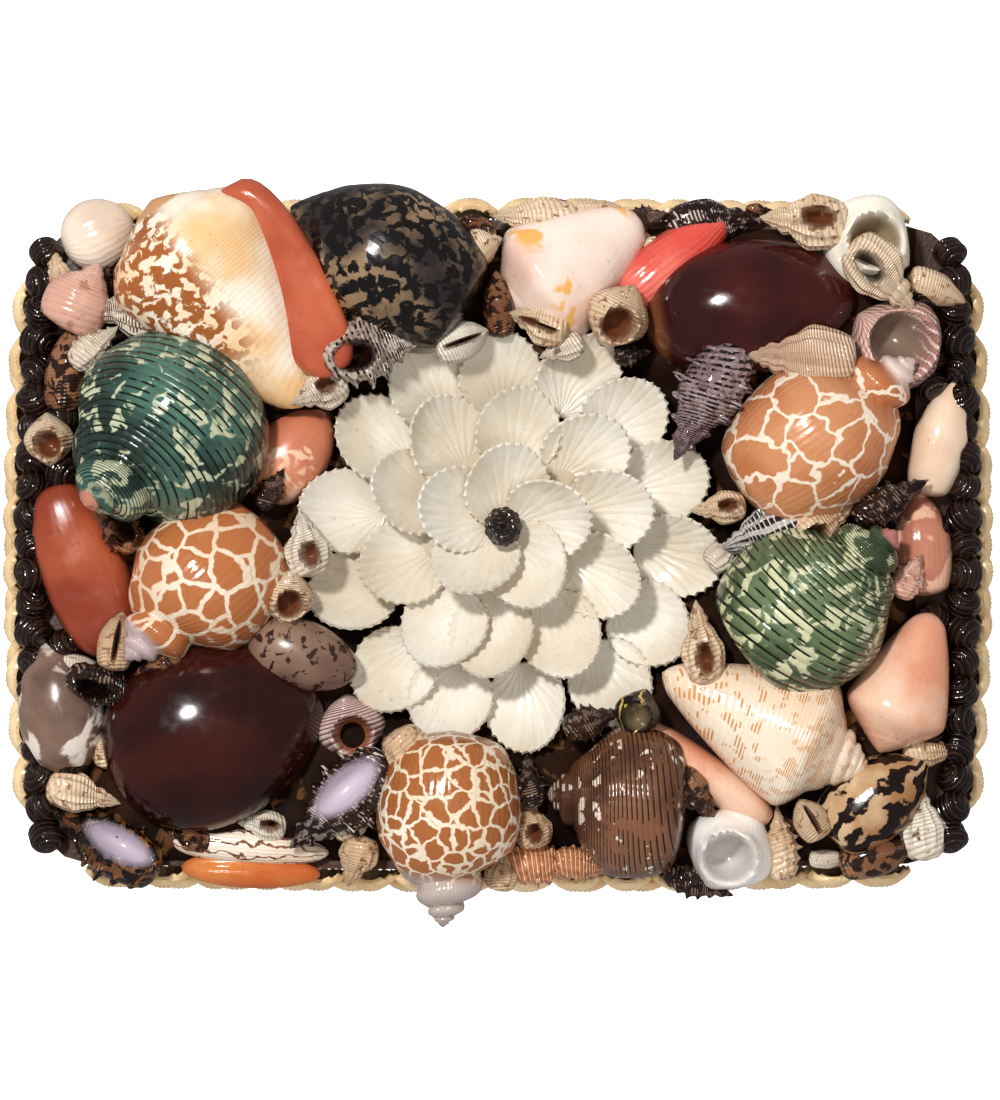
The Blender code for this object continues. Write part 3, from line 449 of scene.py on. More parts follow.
FINISH_LIST = (
    Finish(
        "mottled", "orange_shell", tone(238, 226, 208), tone(160, 96, 50), tone(226, 186, 138),
        Pattern.BLOTCH, 360, 0.49, tip=tone(206, 156, 112), tip_share=0.06, cords=10,
        cord_depth=0.15, fade=0.85, edge=(0.81, 0.59, -0.019),
    ),
    Finish(
        "volute", "dark_shell", tone(46, 40, 40), tone(22, 18, 18), tone(150, 124, 96),
        Pattern.BLOTCH, 330, 0.47, growth=40, growth_depth=0.35,
    ),
    Finish(
        "pink_white", "pink_shell", tone(236, 214, 200), tone(226, 170, 96), tone(222, 186, 170),
        Pattern.BLOTCH, 60, 0.62, growth_depth=0.15, mouth=tone(206, 160, 140),
    ),
    Finish(
        "coral", "red_shell", tone(206, 84, 72), None, tone(226, 120, 104), growth=26,
        growth_depth=0.8,
    ),
    Finish(
        "terracotta", "red_shell", tone(166, 88, 58), None, tone(136, 62, 44), growth_depth=0.1,
        grain=0.08,
    ),
    Finish(
        "lip_red", "red_shell", tone(166, 82, 58), None, tone(188, 104, 72), growth_depth=0.1,
        grain=0.08,
    ),
    Finish(
        "orange_strip", "orange_shell", tone(206, 126, 66), None, tone(190, 98, 50), growth=60,
        growth_depth=0.4,
    ),
    Finish(
        "purple_dark", "purple_shell", tone(64, 24, 18), None, tone(40, 14, 12), growth_depth=0.02,
        grain=0.02, gloss=0.14,
    ),
    Finish(
        "purple_brown", "purple_shell", tone(72, 26, 24), None, tone(54, 20, 20),
        tip=tone(120, 76, 52), tip_share=0.22, growth_depth=0.03, grain=0.03, gloss=0.12,
    ),
    Finish(
        "moon_white", "white_shell", tone(238, 230, 214), None, tone(226, 212, 190),
        growth_depth=0.15, mouth=tone(176, 158, 130),
    ),
    Finish(
        "cream_ribbed", "cream_shell", tone(226, 206, 180), tone(176, 134, 100), tone(210, 184, 156),
        Pattern.LINES, 200, 0.10, 10, cords=10, cord_depth=0.8, growth=24, growth_depth=0.6,
    ),
    Finish(
        "pale_nassa", "cream_shell", tone(226, 202, 176), tone(150, 104, 78), tone(206, 172, 146),
        Pattern.LINES, 200, 0.09, 12, cords=12, cord_depth=1.0, growth=26, growth_depth=1.0,
    ),
    Finish(
        "top_pink", "pink_shell", tone(196, 150, 140), tone(232, 214, 200), tone(176, 128, 120),
        Pattern.FLAMES, 150, 0.16, 30, cords=12, cord_depth=0.8, mouth=tone(132, 112, 98),
    ),
    Finish(
        "morula", "dark_shell", tone(156, 136, 136), tone(34, 24, 26), tone(126, 102, 104),
        Pattern.DASHES, 560, 0.50, 8, cords=8, cord_depth=1.4, growth=18, growth_depth=1.8,
        gloss=0.2,
    ),
    Finish(
        "babylonia", "orange_shell", tone(180, 114, 74), tone(232, 214, 194), tone(196, 138, 98),
        Pattern.NET, 95, 0.036, tip=tone(216, 196, 186), tip_share=0.14, growth=60, growth_depth=0.4,
    ),
    Finish(
        "babylonia_pale", "orange_shell", tone(228, 210, 188), tone(176, 112, 70),
        tone(216, 188, 160), Pattern.CELLS, 130, 0.052, tip=tone(190, 170, 170), tip_share=0.16,
        growth=60, growth_depth=0.4,
    ),
    Finish(
        "giraffe", "orange_shell", tone(234, 222, 204), tone(164, 104, 60), tone(226, 206, 180),
        Pattern.CELLS, 185, 0.052, tip=tone(180, 166, 158), tip_share=0.30, growth=60,
        growth_depth=0.4,
    ),
    Finish(
        "olive_cream", "cream_shell", tone(232, 208, 184), None, tone(218, 186, 160),
        growth_depth=0.05,
    ),
    Finish(
        "conch_pink", "pink_shell", tone(196, 136, 112), tone(222, 176, 150), tone(170, 110, 92),
        Pattern.BLOTCH, 90, 0.52, growth_depth=0.3,
    ),
    Finish(
        "green", "green_shell", tone(112, 128, 94), tone(200, 200, 164), tone(70, 84, 60),
        Pattern.BLOTCH, 190, 0.54, tip=tone(206, 140, 130), tip_share=0.06, cords=11, cord_depth=1.2,
        growth=50, growth_depth=0.3, groove=tone(30, 30, 20),
    ),
    Finish(
        "teal", "teal_shell", tone(80, 114, 100), tone(184, 188, 158), tone(40, 54, 48),
        Pattern.BLOTCH, 200, 0.56, tip=tone(216, 150, 126), tip_share=0.045, cords=11,
        cord_depth=1.2, growth=40, growth_depth=0.3, groove=tone(20, 26, 24),
    ),
    Finish(
        "salmon_cone", "pink_shell", tone(228, 190, 166), None, tone(214, 150, 120),
        growth_depth=0.12,
    ),
    Finish(
        "striped_conch", "white_shell", tone(232, 216, 196), tone(200, 144, 92), tone(226, 200, 174),
        Pattern.DASHES, 300, 0.56, 14, cords=8, cord_depth=0.3, growth_depth=0.2,
    ),
    Finish(
        "tiger", "brown_shell", tone(156, 108, 66), tone(30, 18, 14), tone(206, 180, 146),
        Pattern.FLAMES, 170, 0.30, 7, growth_depth=0.2,
    ),
    Finish(
        "nerite", "white_shell", tone(236, 230, 222), None, tone(214, 206, 200), growth_depth=0.2,
        mouth=tone(196, 190, 186),
    ),
    Finish(
        "brown_lines", "brown_shell", tone(132, 92, 68), tone(226, 210, 192), tone(84, 54, 40),
        Pattern.DASHES, 240, 0.60, 2, cords=12, cord_depth=0.5, growth=44, growth_depth=0.5,
        groove=tone(36, 22, 18),
    ),
    Finish(
        "dark_speckled", "dark_shell", tone(54, 34, 30), tone(206, 190, 178), tone(38, 22, 22),
        Pattern.DASHES, 520, 0.55, 9, cords=9, cord_depth=1.2, growth=20, growth_depth=1.0,
        mouth=tone(194, 180, 190),
    ),
    Finish(
        "grey_cowrie", "grey_shell", tone(132, 108, 94), tone(214, 202, 190), tone(96, 74, 64),
        Pattern.BLOTCH, 70, 0.56, growth_depth=0.03, grain=0.05,
    ),
    Finish(
        "banded_cowrie", "grey_shell", tone(142, 116, 98), tone(58, 38, 32), tone(110, 84, 72),
        Pattern.BLOTCH, 360, 0.58, growth_depth=0.03, grain=0.05,
    ),
    Finish(
        "salmon_cowrie", "pink_shell", tone(202, 134, 104), tone(226, 182, 156), tone(186, 112, 84),
        Pattern.BLOTCH, 150, 0.58, growth_depth=0.03, grain=0.05,
    ),
    Finish(
        "murex", "grey_shell", tone(190, 174, 162), tone(38, 28, 24), tone(154, 134, 124),
        Pattern.DASHES, 560, 0.52, 7, cords=7, cord_depth=1.4, growth=14, growth_depth=1.8,
    ),
    Finish(
        "clam_white", "white_shell", tone(226, 212, 196), None, tone(206, 184, 164), growth=30,
        growth_depth=0.5,
    ),
    Finish(
        "grey_brown", "grey_shell", tone(206, 194, 178), tone(96, 66, 50), tone(180, 160, 142),
        Pattern.DASHES, 420, 0.50, 8, cords=8, cord_depth=0.9, growth=20, growth_depth=1.0,
    ),
    Finish(
        "corner_brown", "brown_shell", tone(96, 62, 38), tone(30, 18, 16), tone(150, 104, 62),
        Pattern.BLOTCH, 300, 0.48, cords=6, cord_depth=1.2, growth_depth=0.8,
        mouth=tone(184, 172, 182),
    ),
    Finish(
        "olive_white", "white_shell", tone(230, 218, 200), tone(126, 84, 56), tone(220, 200, 178),
        Pattern.FLAMES, 220, 0.10, 9, growth_depth=0.6,
    ),
    Finish(
        "rock_orange", "orange_shell", tone(206, 150, 104), tone(236, 206, 176), tone(180, 116, 78),
        Pattern.LINES, 200, 0.12, 6, cords=6, cord_depth=1.2, growth=14, growth_depth=1.4,
    ),
    Finish(
        "ribbed_violet", "pink_shell", tone(232, 214, 206), tone(146, 96, 92), tone(214, 186, 178),
        Pattern.LINES, 200, 0.14, 5, cords=5, cord_depth=1.3, mouth=tone(176, 108, 72),
    ),
    Finish(
        "zebra", "grey_shell", tone(196, 188, 182), tone(40, 34, 36), tone(160, 150, 146),
        Pattern.FLAMES, 60, 0.26, 12, cords=5, cord_depth=0.6, groove=tone(210, 200, 190),
    ),
    # Where a filler's mouth colour is darker than its shell, it is painted shade inside the aperture.
    Finish(
        "filler_cream", "cream_shell", tone(222, 200, 172), tone(150, 108, 78), tone(200, 168, 136),
        Pattern.BLOTCH, 460, 0.60, cords=5, cord_depth=0.9, growth=12, growth_depth=1.0,
        mouth=tone(110, 66, 42), groove=tone(198, 168, 138),
    ),
    Finish(
        "filler_white", "white_shell", tone(226, 216, 200), tone(120, 96, 80), tone(206, 190, 170),
        Pattern.BLOTCH, 420, 0.64, cords=5, cord_depth=0.9, growth=12, growth_depth=1.0,
        mouth=tone(120, 80, 58), groove=tone(200, 182, 162),
    ),
    Finish(
        "filler_brown", "brown_shell", tone(122, 80, 54), tone(52, 30, 22), tone(160, 116, 84),
        Pattern.BLOTCH, 340, 0.50, cords=7, cord_depth=1.0, growth=14, growth_depth=1.2,
        mouth=tone(40, 20, 14),
    ),
    Finish(
        "filler_dark", "dark_shell", tone(60, 40, 34), tone(150, 124, 104), tone(40, 26, 24),
        Pattern.DASHES, 480, 0.56, 7, cords=7, cord_depth=1.2, growth=14, growth_depth=1.2,
        mouth=tone(24, 12, 10),
    ),
    Finish(
        "filler_pink", "pink_shell", tone(216, 178, 160), tone(176, 128, 110), tone(200, 156, 138),
        Pattern.BLOTCH, 220, 0.58, cords=5, cord_depth=0.5, growth=12, growth_depth=0.6,
    ),
    Finish(
        "filler_orange", "orange_shell", tone(196, 138, 96), tone(226, 196, 164), tone(172, 112, 76),
        Pattern.LINES, 200, 0.12, 5, cords=5, cord_depth=1.0, growth=12, growth_depth=1.2,
    ),
    Finish(
        "filler_black", "dark_shell", tone(34, 28, 28), tone(206, 176, 96), tone(24, 20, 20),
        Pattern.FLAMES, 120, 0.10, 5, mouth=tone(120, 104, 80),
    ),
    Finish(
        "bead_dark", "dark_shell", tone(34, 20, 16), tone(66, 44, 32), tone(20, 12, 10),
        Pattern.LINES, 200, 0.14, 3, cords=3, cord_depth=1.6, growth=10, growth_depth=0.8,
        gloss=0.10,
    ),
    Finish(
        "petal_white", "white_shell", tone(229, 222, 209), None, tone(212, 200, 180), growth=26,
        growth_depth=0.9, grain=0.05, gloss=0.20,
    ),
    Finish(
        "cockle_cream", "cream_shell", tone(232, 206, 164), None, tone(218, 186, 140), growth=0,
        growth_depth=0.0, grain=0.15, gloss=0.24,
    ),
    Finish(
        "button_dark", "dark_shell", tone(40, 24, 20), tone(86, 60, 46), tone(24, 14, 12),
        Pattern.DASHES, 500, 0.55, 4, cords=4, cord_depth=1.4, growth=12, growth_depth=1.4,
    ),
    # Glue between the shells: its own brown, darkened towards black as painted shade in the gaps.
    Finish(
        "glue_dark_painted_shade", "brown_shell", tone(50, 30, 18), tone(96, 66, 42), tone(26, 14, 8),
        Pattern.BLOTCH, 150, 0.62, growth_depth=0.0, grain=0.5, gloss=0.7, coat=0.0,
    ),
    Finish(
        "glue_pale", "cream_shell", tone(214, 204, 186), None, tone(190, 176, 152), growth_depth=0.0,
        grain=0.4, gloss=0.5, coat=0.0,
    ),
    Finish(
        "wood_dark", "box_wood", tone(66, 42, 28), tone(60, 37, 24), tone(74, 47, 31),
        Pattern.BLOTCH, 25, 0.50, growth_depth=0.0, grain=0.4, gloss=0.42, coat=0.15,
    ),
)
FINISHES = {item.name: item for item in FINISH_LIST}


@dataclass(frozen=True)
class Form:
    """Proportions of one kind of coiled shell.

    spire: share of the length taken by the whorls above the last one.
    neck, shoulder, base, taper: the outline's width at the spire's foot, where it is widest,
        at the far end, and how fast it narrows. A shell with no neck is a ball.
    bulge, growth: how far each whorl swells and how much each is longer than the one before.
    depth: the height as a share of the width.
    ribs, rib_height, rows: ribs round the shell and how high, broken into knobs by rows.
    """

    spire: float
    neck: float
    shoulder: float
    base: float
    taper: float
    bulge: float
    growth: float = 1.62
    depth: float = 1.0
    ribs: int = 0
    rib_height: float = 0.0
    rows: float = 0.0


TURBAN = Form(0.40, 0.86, 0.26, 0.34, 2.4, 0.42, 2.30)
BABYLONIA = Form(0.43, 0.93, 0.24, 0.24, 2.2, 0.42, 2.10)
WHELK = Form(0.46, 0.80, 0.22, 0.36, 2.4, 0.32, 1.65, ribs=12, rib_height=0.09)
NODULED = Form(0.40, 0.74, 0.22, 0.32, 2.1, 0.26, 1.7, ribs=10, rib_height=0.17, rows=7)
CONCH = Form(0.22, 0.62, 0.14, 0.10, 1.20, 0.20, 1.5, depth=0.85)
CONE = Form(0.16, 0.66, 0.18, 0.18, 1.25, 0.04, 1.5)
DOME = Form(0.14, 0.80, 0.16, 0.10, 1.20, 0.05, 1.5, depth=0.85)
OLIVE = Form(0.18, 0.60, 0.40, 0.36, 2.4, 0.03, 1.5)
GLOBE = Form(0.30, 0.0, 0.0, 0.0, 0.0, 0.05, 2.0)
MOON = Form(0.30, 0.66, 0.36, 0.45, 2.4, 0.30, 2.0)


@dataclass(frozen=True)
class Mouth:
    """An aperture that faces up: where it lies, its half sizes, its depth and its rim."""

    x: float
    y: float
    long: float
    wide: float
    depth: float = 0.55
    rim: float = 0.07


SIDE_MOUTH = Mouth(-0.34, -0.16, 0.42, 0.40, 0.44)
ROUND_MOUTH = Mouth(-0.20, -0.05, 0.56, 0.56, 0.46, 0.09)
SLIT_MOUTH = Mouth(0.0, 0.0, 0.80, 0.16, 0.30, 0.05)
WIDE_MOUTH = Mouth(-0.20, -0.20, 0.66, 0.44, 0.36)


@dataclass(frozen=True)
class Snail:
    """One coiled shell: its shape, finish, place on the lid and which way its tip points."""

    name: str
    form: Form
    finish: str
    x: float
    y: float
    heading: float
    length: float
    width: float
    pitch: float = 0.0
    roll: float = 0.0
    sink: float = 0.18
    lift: float = 0.0
    mouth: Optional[Mouth] = None


@dataclass(frozen=True)
class Egg:
    """One smooth rounded shell, such as a cowrie, a clam or a broken lip."""

    name: str
    finish: str
    x: float
    y: float
    heading: float
    length: float
    width: float
    height: float
    taper: float = 0.12
    sink: float = 0.30
    lift: float = 0.0
    pitch: float = 0.0
    roll: float = 0.0
    dish: float = 0.0
    blunt: float = 1.0


def outline(form: Form, along: np.ndarray) -> np.ndarray:
    """Return a coiled shell's radius as a share of its widest, from the tip to the far end.

    Args:
        form: the shell's proportions.
        along: shares of the length, 0 at the tip.
    Returns:
        The radius at each share.
    """
    if form.neck == 0:
        return np.sin(math.pi * along) ** 0.85
    spire = form.neck * (np.clip(along / form.spire, 0, 1)) ** 0.80
    share = np.clip((along - form.spire) / (1 - form.spire), 0, 1)
    rise = form.neck + (1 - form.neck) * np.sin(math.pi / 2 * np.clip(share / form.shoulder, 0, 1))
    past = np.clip((share - form.shoulder) / (1 - form.shoulder), 0, 1)
    fall = form.base + (1 - form.base) * (1 - past**form.taper) ** (1 / form.taper)
    radius = np.where(along <= form.spire, spire, np.where(share < form.shoulder, rise, fall))
    close = np.clip((along - 0.93) / 0.07, 0, 1)
    return radius * np.sqrt(1 - close**2)


def read_points(mesh: bpy.types.Mesh) -> np.ndarray:
    """Return a mesh's points as an array of rows."""
    points = np.zeros(len(mesh.vertices) * 3)
    mesh.vertices.foreach_get("co", points)
    return points.reshape(-1, 3)


def write_points(mesh: bpy.types.Mesh, points: np.ndarray) -> None:
    """Move a mesh's points to the rows of an array."""
    mesh.vertices.foreach_set("co", points.ravel())
    mesh.update()


def write_shares(mesh: bpy.types.Mesh, along: np.ndarray, inside: Optional[np.ndarray] = None) -> None:
    """Store how far along its shell each point lies and how far inside the mouth it is.

    Args:
        mesh: the shell's mesh.
        along: shares of the length.
        inside: shares of the mouth, or None where there is no mouth.
    """
    mouth = np.zeros(len(along)) if inside is None else inside
    for name, values in (("along", along), ("mouth", mouth)):
        layer = mesh.attributes.new(name, "FLOAT", "POINT")
        layer.data.foreach_set("value", values.astype(np.float32))


def unroll(mesh: bpy.types.Mesh, turn: np.ndarray, spiral: np.ndarray, step: float) -> None:
    """Write the map that the marks and the relief read.

    Args:
        mesh: the shell's mesh.
        turn: each point's angle as a share of a turn.
        spiral: each point's place across the whorls.
        step: what the spiral gains over one turn.
    """
    layer = mesh.uv_layers.active or mesh.uv_layers.new()
    layer.name = "UVMap"
    for face in mesh.polygons:
        turns = [turn[index] for index in face.vertices]
        wraps = max(turns) - min(turns) > 0.5
        for loop, index in zip(face.loop_indices, face.vertices):
            extra = 1.0 if wraps and turn[index] < 0.5 else 0.0
            layer.data[loop].uv = (turn[index] + extra, spiral[index] + step * extra)


def turned(degrees: float, axis: str) -> Matrix:
    """Return a turn round an axis."""
    return Matrix.Rotation(math.radians(degrees), 4, axis)


def pick(items: Sequence[bpy.types.Object]) -> None:
    """Select these objects alone and make the first one active."""
    bpy.ops.object.select_all(action="DESELECT")
    for item in items:
        item.select_set(True)
    bpy.context.view_layer.objects.active = items[0]


def add_sphere(name: str, segments: int, rings: int) -> bpy.types.Object:
    """Add a sphere of radius 1 at the origin and return it."""
    bpy.ops.object.select_all(action="DESELECT")
    bpy.ops.mesh.primitive_uv_sphere_add(segments=segments, ring_count=rings, radius=1.0)
    item = bpy.context.object
    item.name = f"{name}_look"
    return item


def add_grid(name: str, across: int, out: int) -> bpy.types.Object:
    """Add a grid from -1 to 1 at the origin and return it."""
    bpy.ops.object.select_all(action="DESELECT")
    bpy.ops.mesh.primitive_grid_add(x_subdivisions=across, y_subdivisions=out, size=2.0)
    item = bpy.context.object
    item.name = name
    return item


def apply_modifier(item: bpy.types.Object, kind: str, **settings: float) -> None:
    """Change the active object's mesh with one modifier."""
    change = item.modifiers.new(kind.lower(), kind)
    for name, value in settings.items():
        setattr(change, name, value)
    bpy.ops.object.modifier_apply(modifier=change.name)


def join(pieces: Sequence[bpy.types.Object], name: str) -> bpy.types.Object:
    """Join pieces into one, named for the solid that it stands for."""
    pick(pieces)
    bpy.ops.object.join()
    pieces[0].name = f"{name}_look"
    return pieces[0]


def sphere_angles(item: bpy.types.Object) -> Tuple[np.ndarray, np.ndarray, np.ndarray]:
    """Return each sphere point's share from the top, its share of a turn and its angle."""
    points = read_points(item.data)
    along = np.arccos(np.clip(points[:, 2], -1, 1)) / math.pi
    turn = (np.arctan2(points[:, 1], points[:, 0]) / (2 * math.pi)) % 1.0
    return along, turn, turn * 2 * math.pi


def shape_mouth(points: np.ndarray, snail: Snail) -> np.ndarray:
    """Press a shell's aperture, where it has one, into its top.

    Args:
        points: the shell's points, changed in place.
        snail: the shell.
    Returns:
        How far inside the aperture each point is, 0 to 1.
    """
    inside = np.zeros(len(points))
    mouth, length, width = snail.mouth, snail.length, snail.width
    if mouth is None:
        return inside
    far = np.sqrt(
        ((points[:, 0] / (length / 2) - mouth.x) / mouth.long) ** 2
        + ((points[:, 1] / (width / 2) - mouth.y) / mouth.wide) ** 2
    )
    top = np.clip(points[:, 2] / (MOUTH_TOP * width), 0, 1)
    pressed = np.clip(1 - far, 0, 1)
    within = top * np.clip(pressed * 5, 0, 1)
    bowl = width * (MOUTH_LEVEL - mouth.depth * (1 - (1 - pressed) ** 2))
    rim = np.exp(-(((far - RIM_PLACE) / RIM_WIDTH) ** 2))
    points[:, 2] += top * width * mouth.rim * rim
    points[:, 2] += within * (bowl - points[:, 2])
    return top * np.clip(pressed * 3.5, 0, 1)


def flatten_under(mesh: bpy.types.Mesh, level: float) -> None:
    """Cut a mesh off at a level and close it flat.

    Args:
        mesh: the mesh.
        level: the height of the cut.
    """
    body = bmesh.new()
    body.from_mesh(mesh)
    if min(vert.co.z for vert in body.verts) < level:
        whole = body.verts[:] + body.edges[:] + body.faces[:]
        made = bmesh.ops.bisect_plane(
            body, geom=whole, plane_co=(0, 0, level), plane_no=(0, 0, -1), clear_outer=True
        )
        rim = [part for part in made["geom_cut"] if isinstance(part, bmesh.types.BMEdge)]
        bmesh.ops.edgeloop_fill(body, edges=rim)
    bmesh.ops.recalc_face_normals(body, faces=body.faces)
    body.to_mesh(mesh)
    body.free()


@dataclass
class Workshop:
    """Finishes pieces: material, shading, place, and what each stands for."""

    paint: Paint
    count: int = 0

    def bed(self, item: bpy.types.Object, shell: Union[Snail, Egg]) -> None:
        """Turn a shell, set it on the lid and cut its underside flat.

        Args:
            item: the shell, shaped round the origin with its tip along +X.
            shell: the Snail or Egg that says where it goes.
        """
        item.data.transform(
            turned(shell.heading, "Z") @ turned(-shell.pitch, "Y") @ turned(shell.roll, "X")
        )
        points = read_points(item.data)
        low, high = points.min(0), points.max(0)
        middle = (low + high) / 2
        sunk = (high[2] - low[2]) * shell.sink
        shift = (shell.x - middle[0], shell.y - middle[1], BED - sunk + shell.lift - low[2])
        write_points(item.data, points + np.array(shift))
        if shell.lift == 0:
            flatten_under(item.data, BED)

    def complete(self, item: bpy.types.Object, finish: str, nodes: Sequence[str] = ()) -> None:
        """Paint a piece, smooth it and tie it to the part.

        Args:
            item: the piece, in place.
            finish: the finish's name.
            nodes: the solids that it stands for.
        """
        given = FINISHES[finish]
        item.data.materials.clear()
        item.data.materials.append(self.paint.give(given))
        pick([item])
        bpy.ops.object.shade_smooth_by_angle(angle=math.radians(SMOOTH_ANGLE))
        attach(item, "root")
        if nodes:
            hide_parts(*nodes)
        self.count += 1
        LOG.info("piece %d: %s, %d faces", self.count, item.name, len(item.data.polygons))


@dataclass
class Mosaic:
    """The large and small shells that cover the lid.

    big: the length from which a coiled shell is divided most finely.
    big_mesh, mid_mesh, small_mesh: how finely coiled shells are divided, round and along.
    egg_mesh, small_egg_mesh: the same for the rounded shells.
    crowding: how much the points crowd towards the tip.
    tip: the share of the length from which the whorls start.
    """

    workshop: Workshop
    big: float = 0.03
    big_mesh: Tuple[int, int] = (88, 72)
    mid_mesh: Tuple[int, int] = (56, 44)
    small_mesh: Tuple[int, int] = (36, 30)
    egg_mesh: Tuple[int, int] = (64, 40)
    small_egg_mesh: Tuple[int, int] = (28, 18)
    crowding: float = 1.2
    tip: float = 0.004

    def coil(self, snail: Snail, columns: int, rows: int) -> bpy.types.Object:
        """Shape a sphere into a coiled shell.

        Args:
            snail: the shell.
            columns, rows: how finely it is divided round and along.
        Returns:
            The shell round the origin, with its tip along +X.
        """
        item = add_sphere(snail.name, columns, rows)
        form = snail.form
        along, turn, angle = sphere_angles(item)
        along = along**self.crowding
        lag = (turn + 0.5) % 1.0
        spiral = np.log(np.clip(along, self.tip, 1) / form.spire) / math.log(form.growth) + lag
        phase = spiral - np.floor(spiral)
        above = np.sin(math.pi * phase**0.75)
        below = np.sin(math.pi * np.clip(spiral, 0, 0.5))
        swell = np.where(spiral < 0, above, below)
        radius = outline(form, along) * (1 + form.bulge * (swell - 0.35))
        if form.ribs:
            wave = np.cos(form.ribs * angle)
            if form.rows:
                knobs = np.clip(wave, 0, 1) * np.clip(np.cos(2 * math.pi * form.rows * along), 0, 1)
                wave = knobs * 2 - 0.3
            fade = np.clip((1 - along) / 0.4, 0, 1) * np.clip(along / 0.1, 0, 1)
            radius = radius * (1 + form.rib_height * wave * fade)
        radius = radius / radius.max() * snail.width / 2
        points = np.empty((len(along), 3))
        points[:, 0] = (0.5 - along) * snail.length
        points[:, 1] = radius * np.cos(angle)
        points[:, 2] = radius * np.sin(angle) * form.depth
        unroll(item.data, lag, spiral, 1.0)
        inside = shape_mouth(points, snail)
        write_points(item.data, points)
        write_shares(item.data, along, inside)
        return item

    def round_shell(self, egg: Egg, columns: int, rows: int) -> bpy.types.Object:
        """Shape a sphere into a cowrie, a clam or a broken lip.

        Args:
            egg: the shell.
            columns, rows: how finely it is divided round and along.
        Returns:
            The shell round the origin, with its narrow end along +X.
        """
        item = add_sphere(egg.name, columns, rows)
        along, turn, angle = sphere_angles(item)
        radius = np.sin(math.pi * along) ** egg.blunt * (1 - egg.taper * np.cos(math.pi * along))
        points = np.empty((len(along), 3))
        points[:, 0] = np.cos(math.pi * along) * egg.length / 2
        points[:, 1] = radius * np.cos(angle) * egg.width / 2
        points[:, 2] = radius * np.sin(angle) * egg.height / 2
        unroll(item.data, turn, along, 0.0)
        if egg.dish:
            far = (points[:, 0] / (egg.length / 2)) ** 2 + (points[:, 1] / (egg.width / 2)) ** 2
            top = points[:, 2] > 0
            points[:, 2] -= np.where(top, egg.dish * egg.height * np.clip(1 - far, 0, 1), 0)
        write_points(item.data, points)
        write_shares(item.data, along)
        return item

    def lay(self, snails: Sequence[Snail], eggs: Sequence[Egg], fine: bool) -> None:
        """Make and bed a list of shells.

        Args:
            snails: the coiled shells.
            eggs: the rounded ones.
            fine: whether they are the large shells, which stand for solids of the part.
        """
        for snail in snails:
            large = self.big_mesh if snail.length > self.big else self.mid_mesh
            item = self.coil(snail, *(large if fine else self.small_mesh))
            self.workshop.bed(item, snail)
            self.workshop.complete(item, snail.finish, [snail.name] if fine else [])
        for egg in eggs:
            item = self.round_shell(egg, *(self.egg_mesh if fine else self.small_egg_mesh))
            self.workshop.bed(item, egg)
            self.workshop.complete(item, egg.finish, [egg.name] if fine else [])


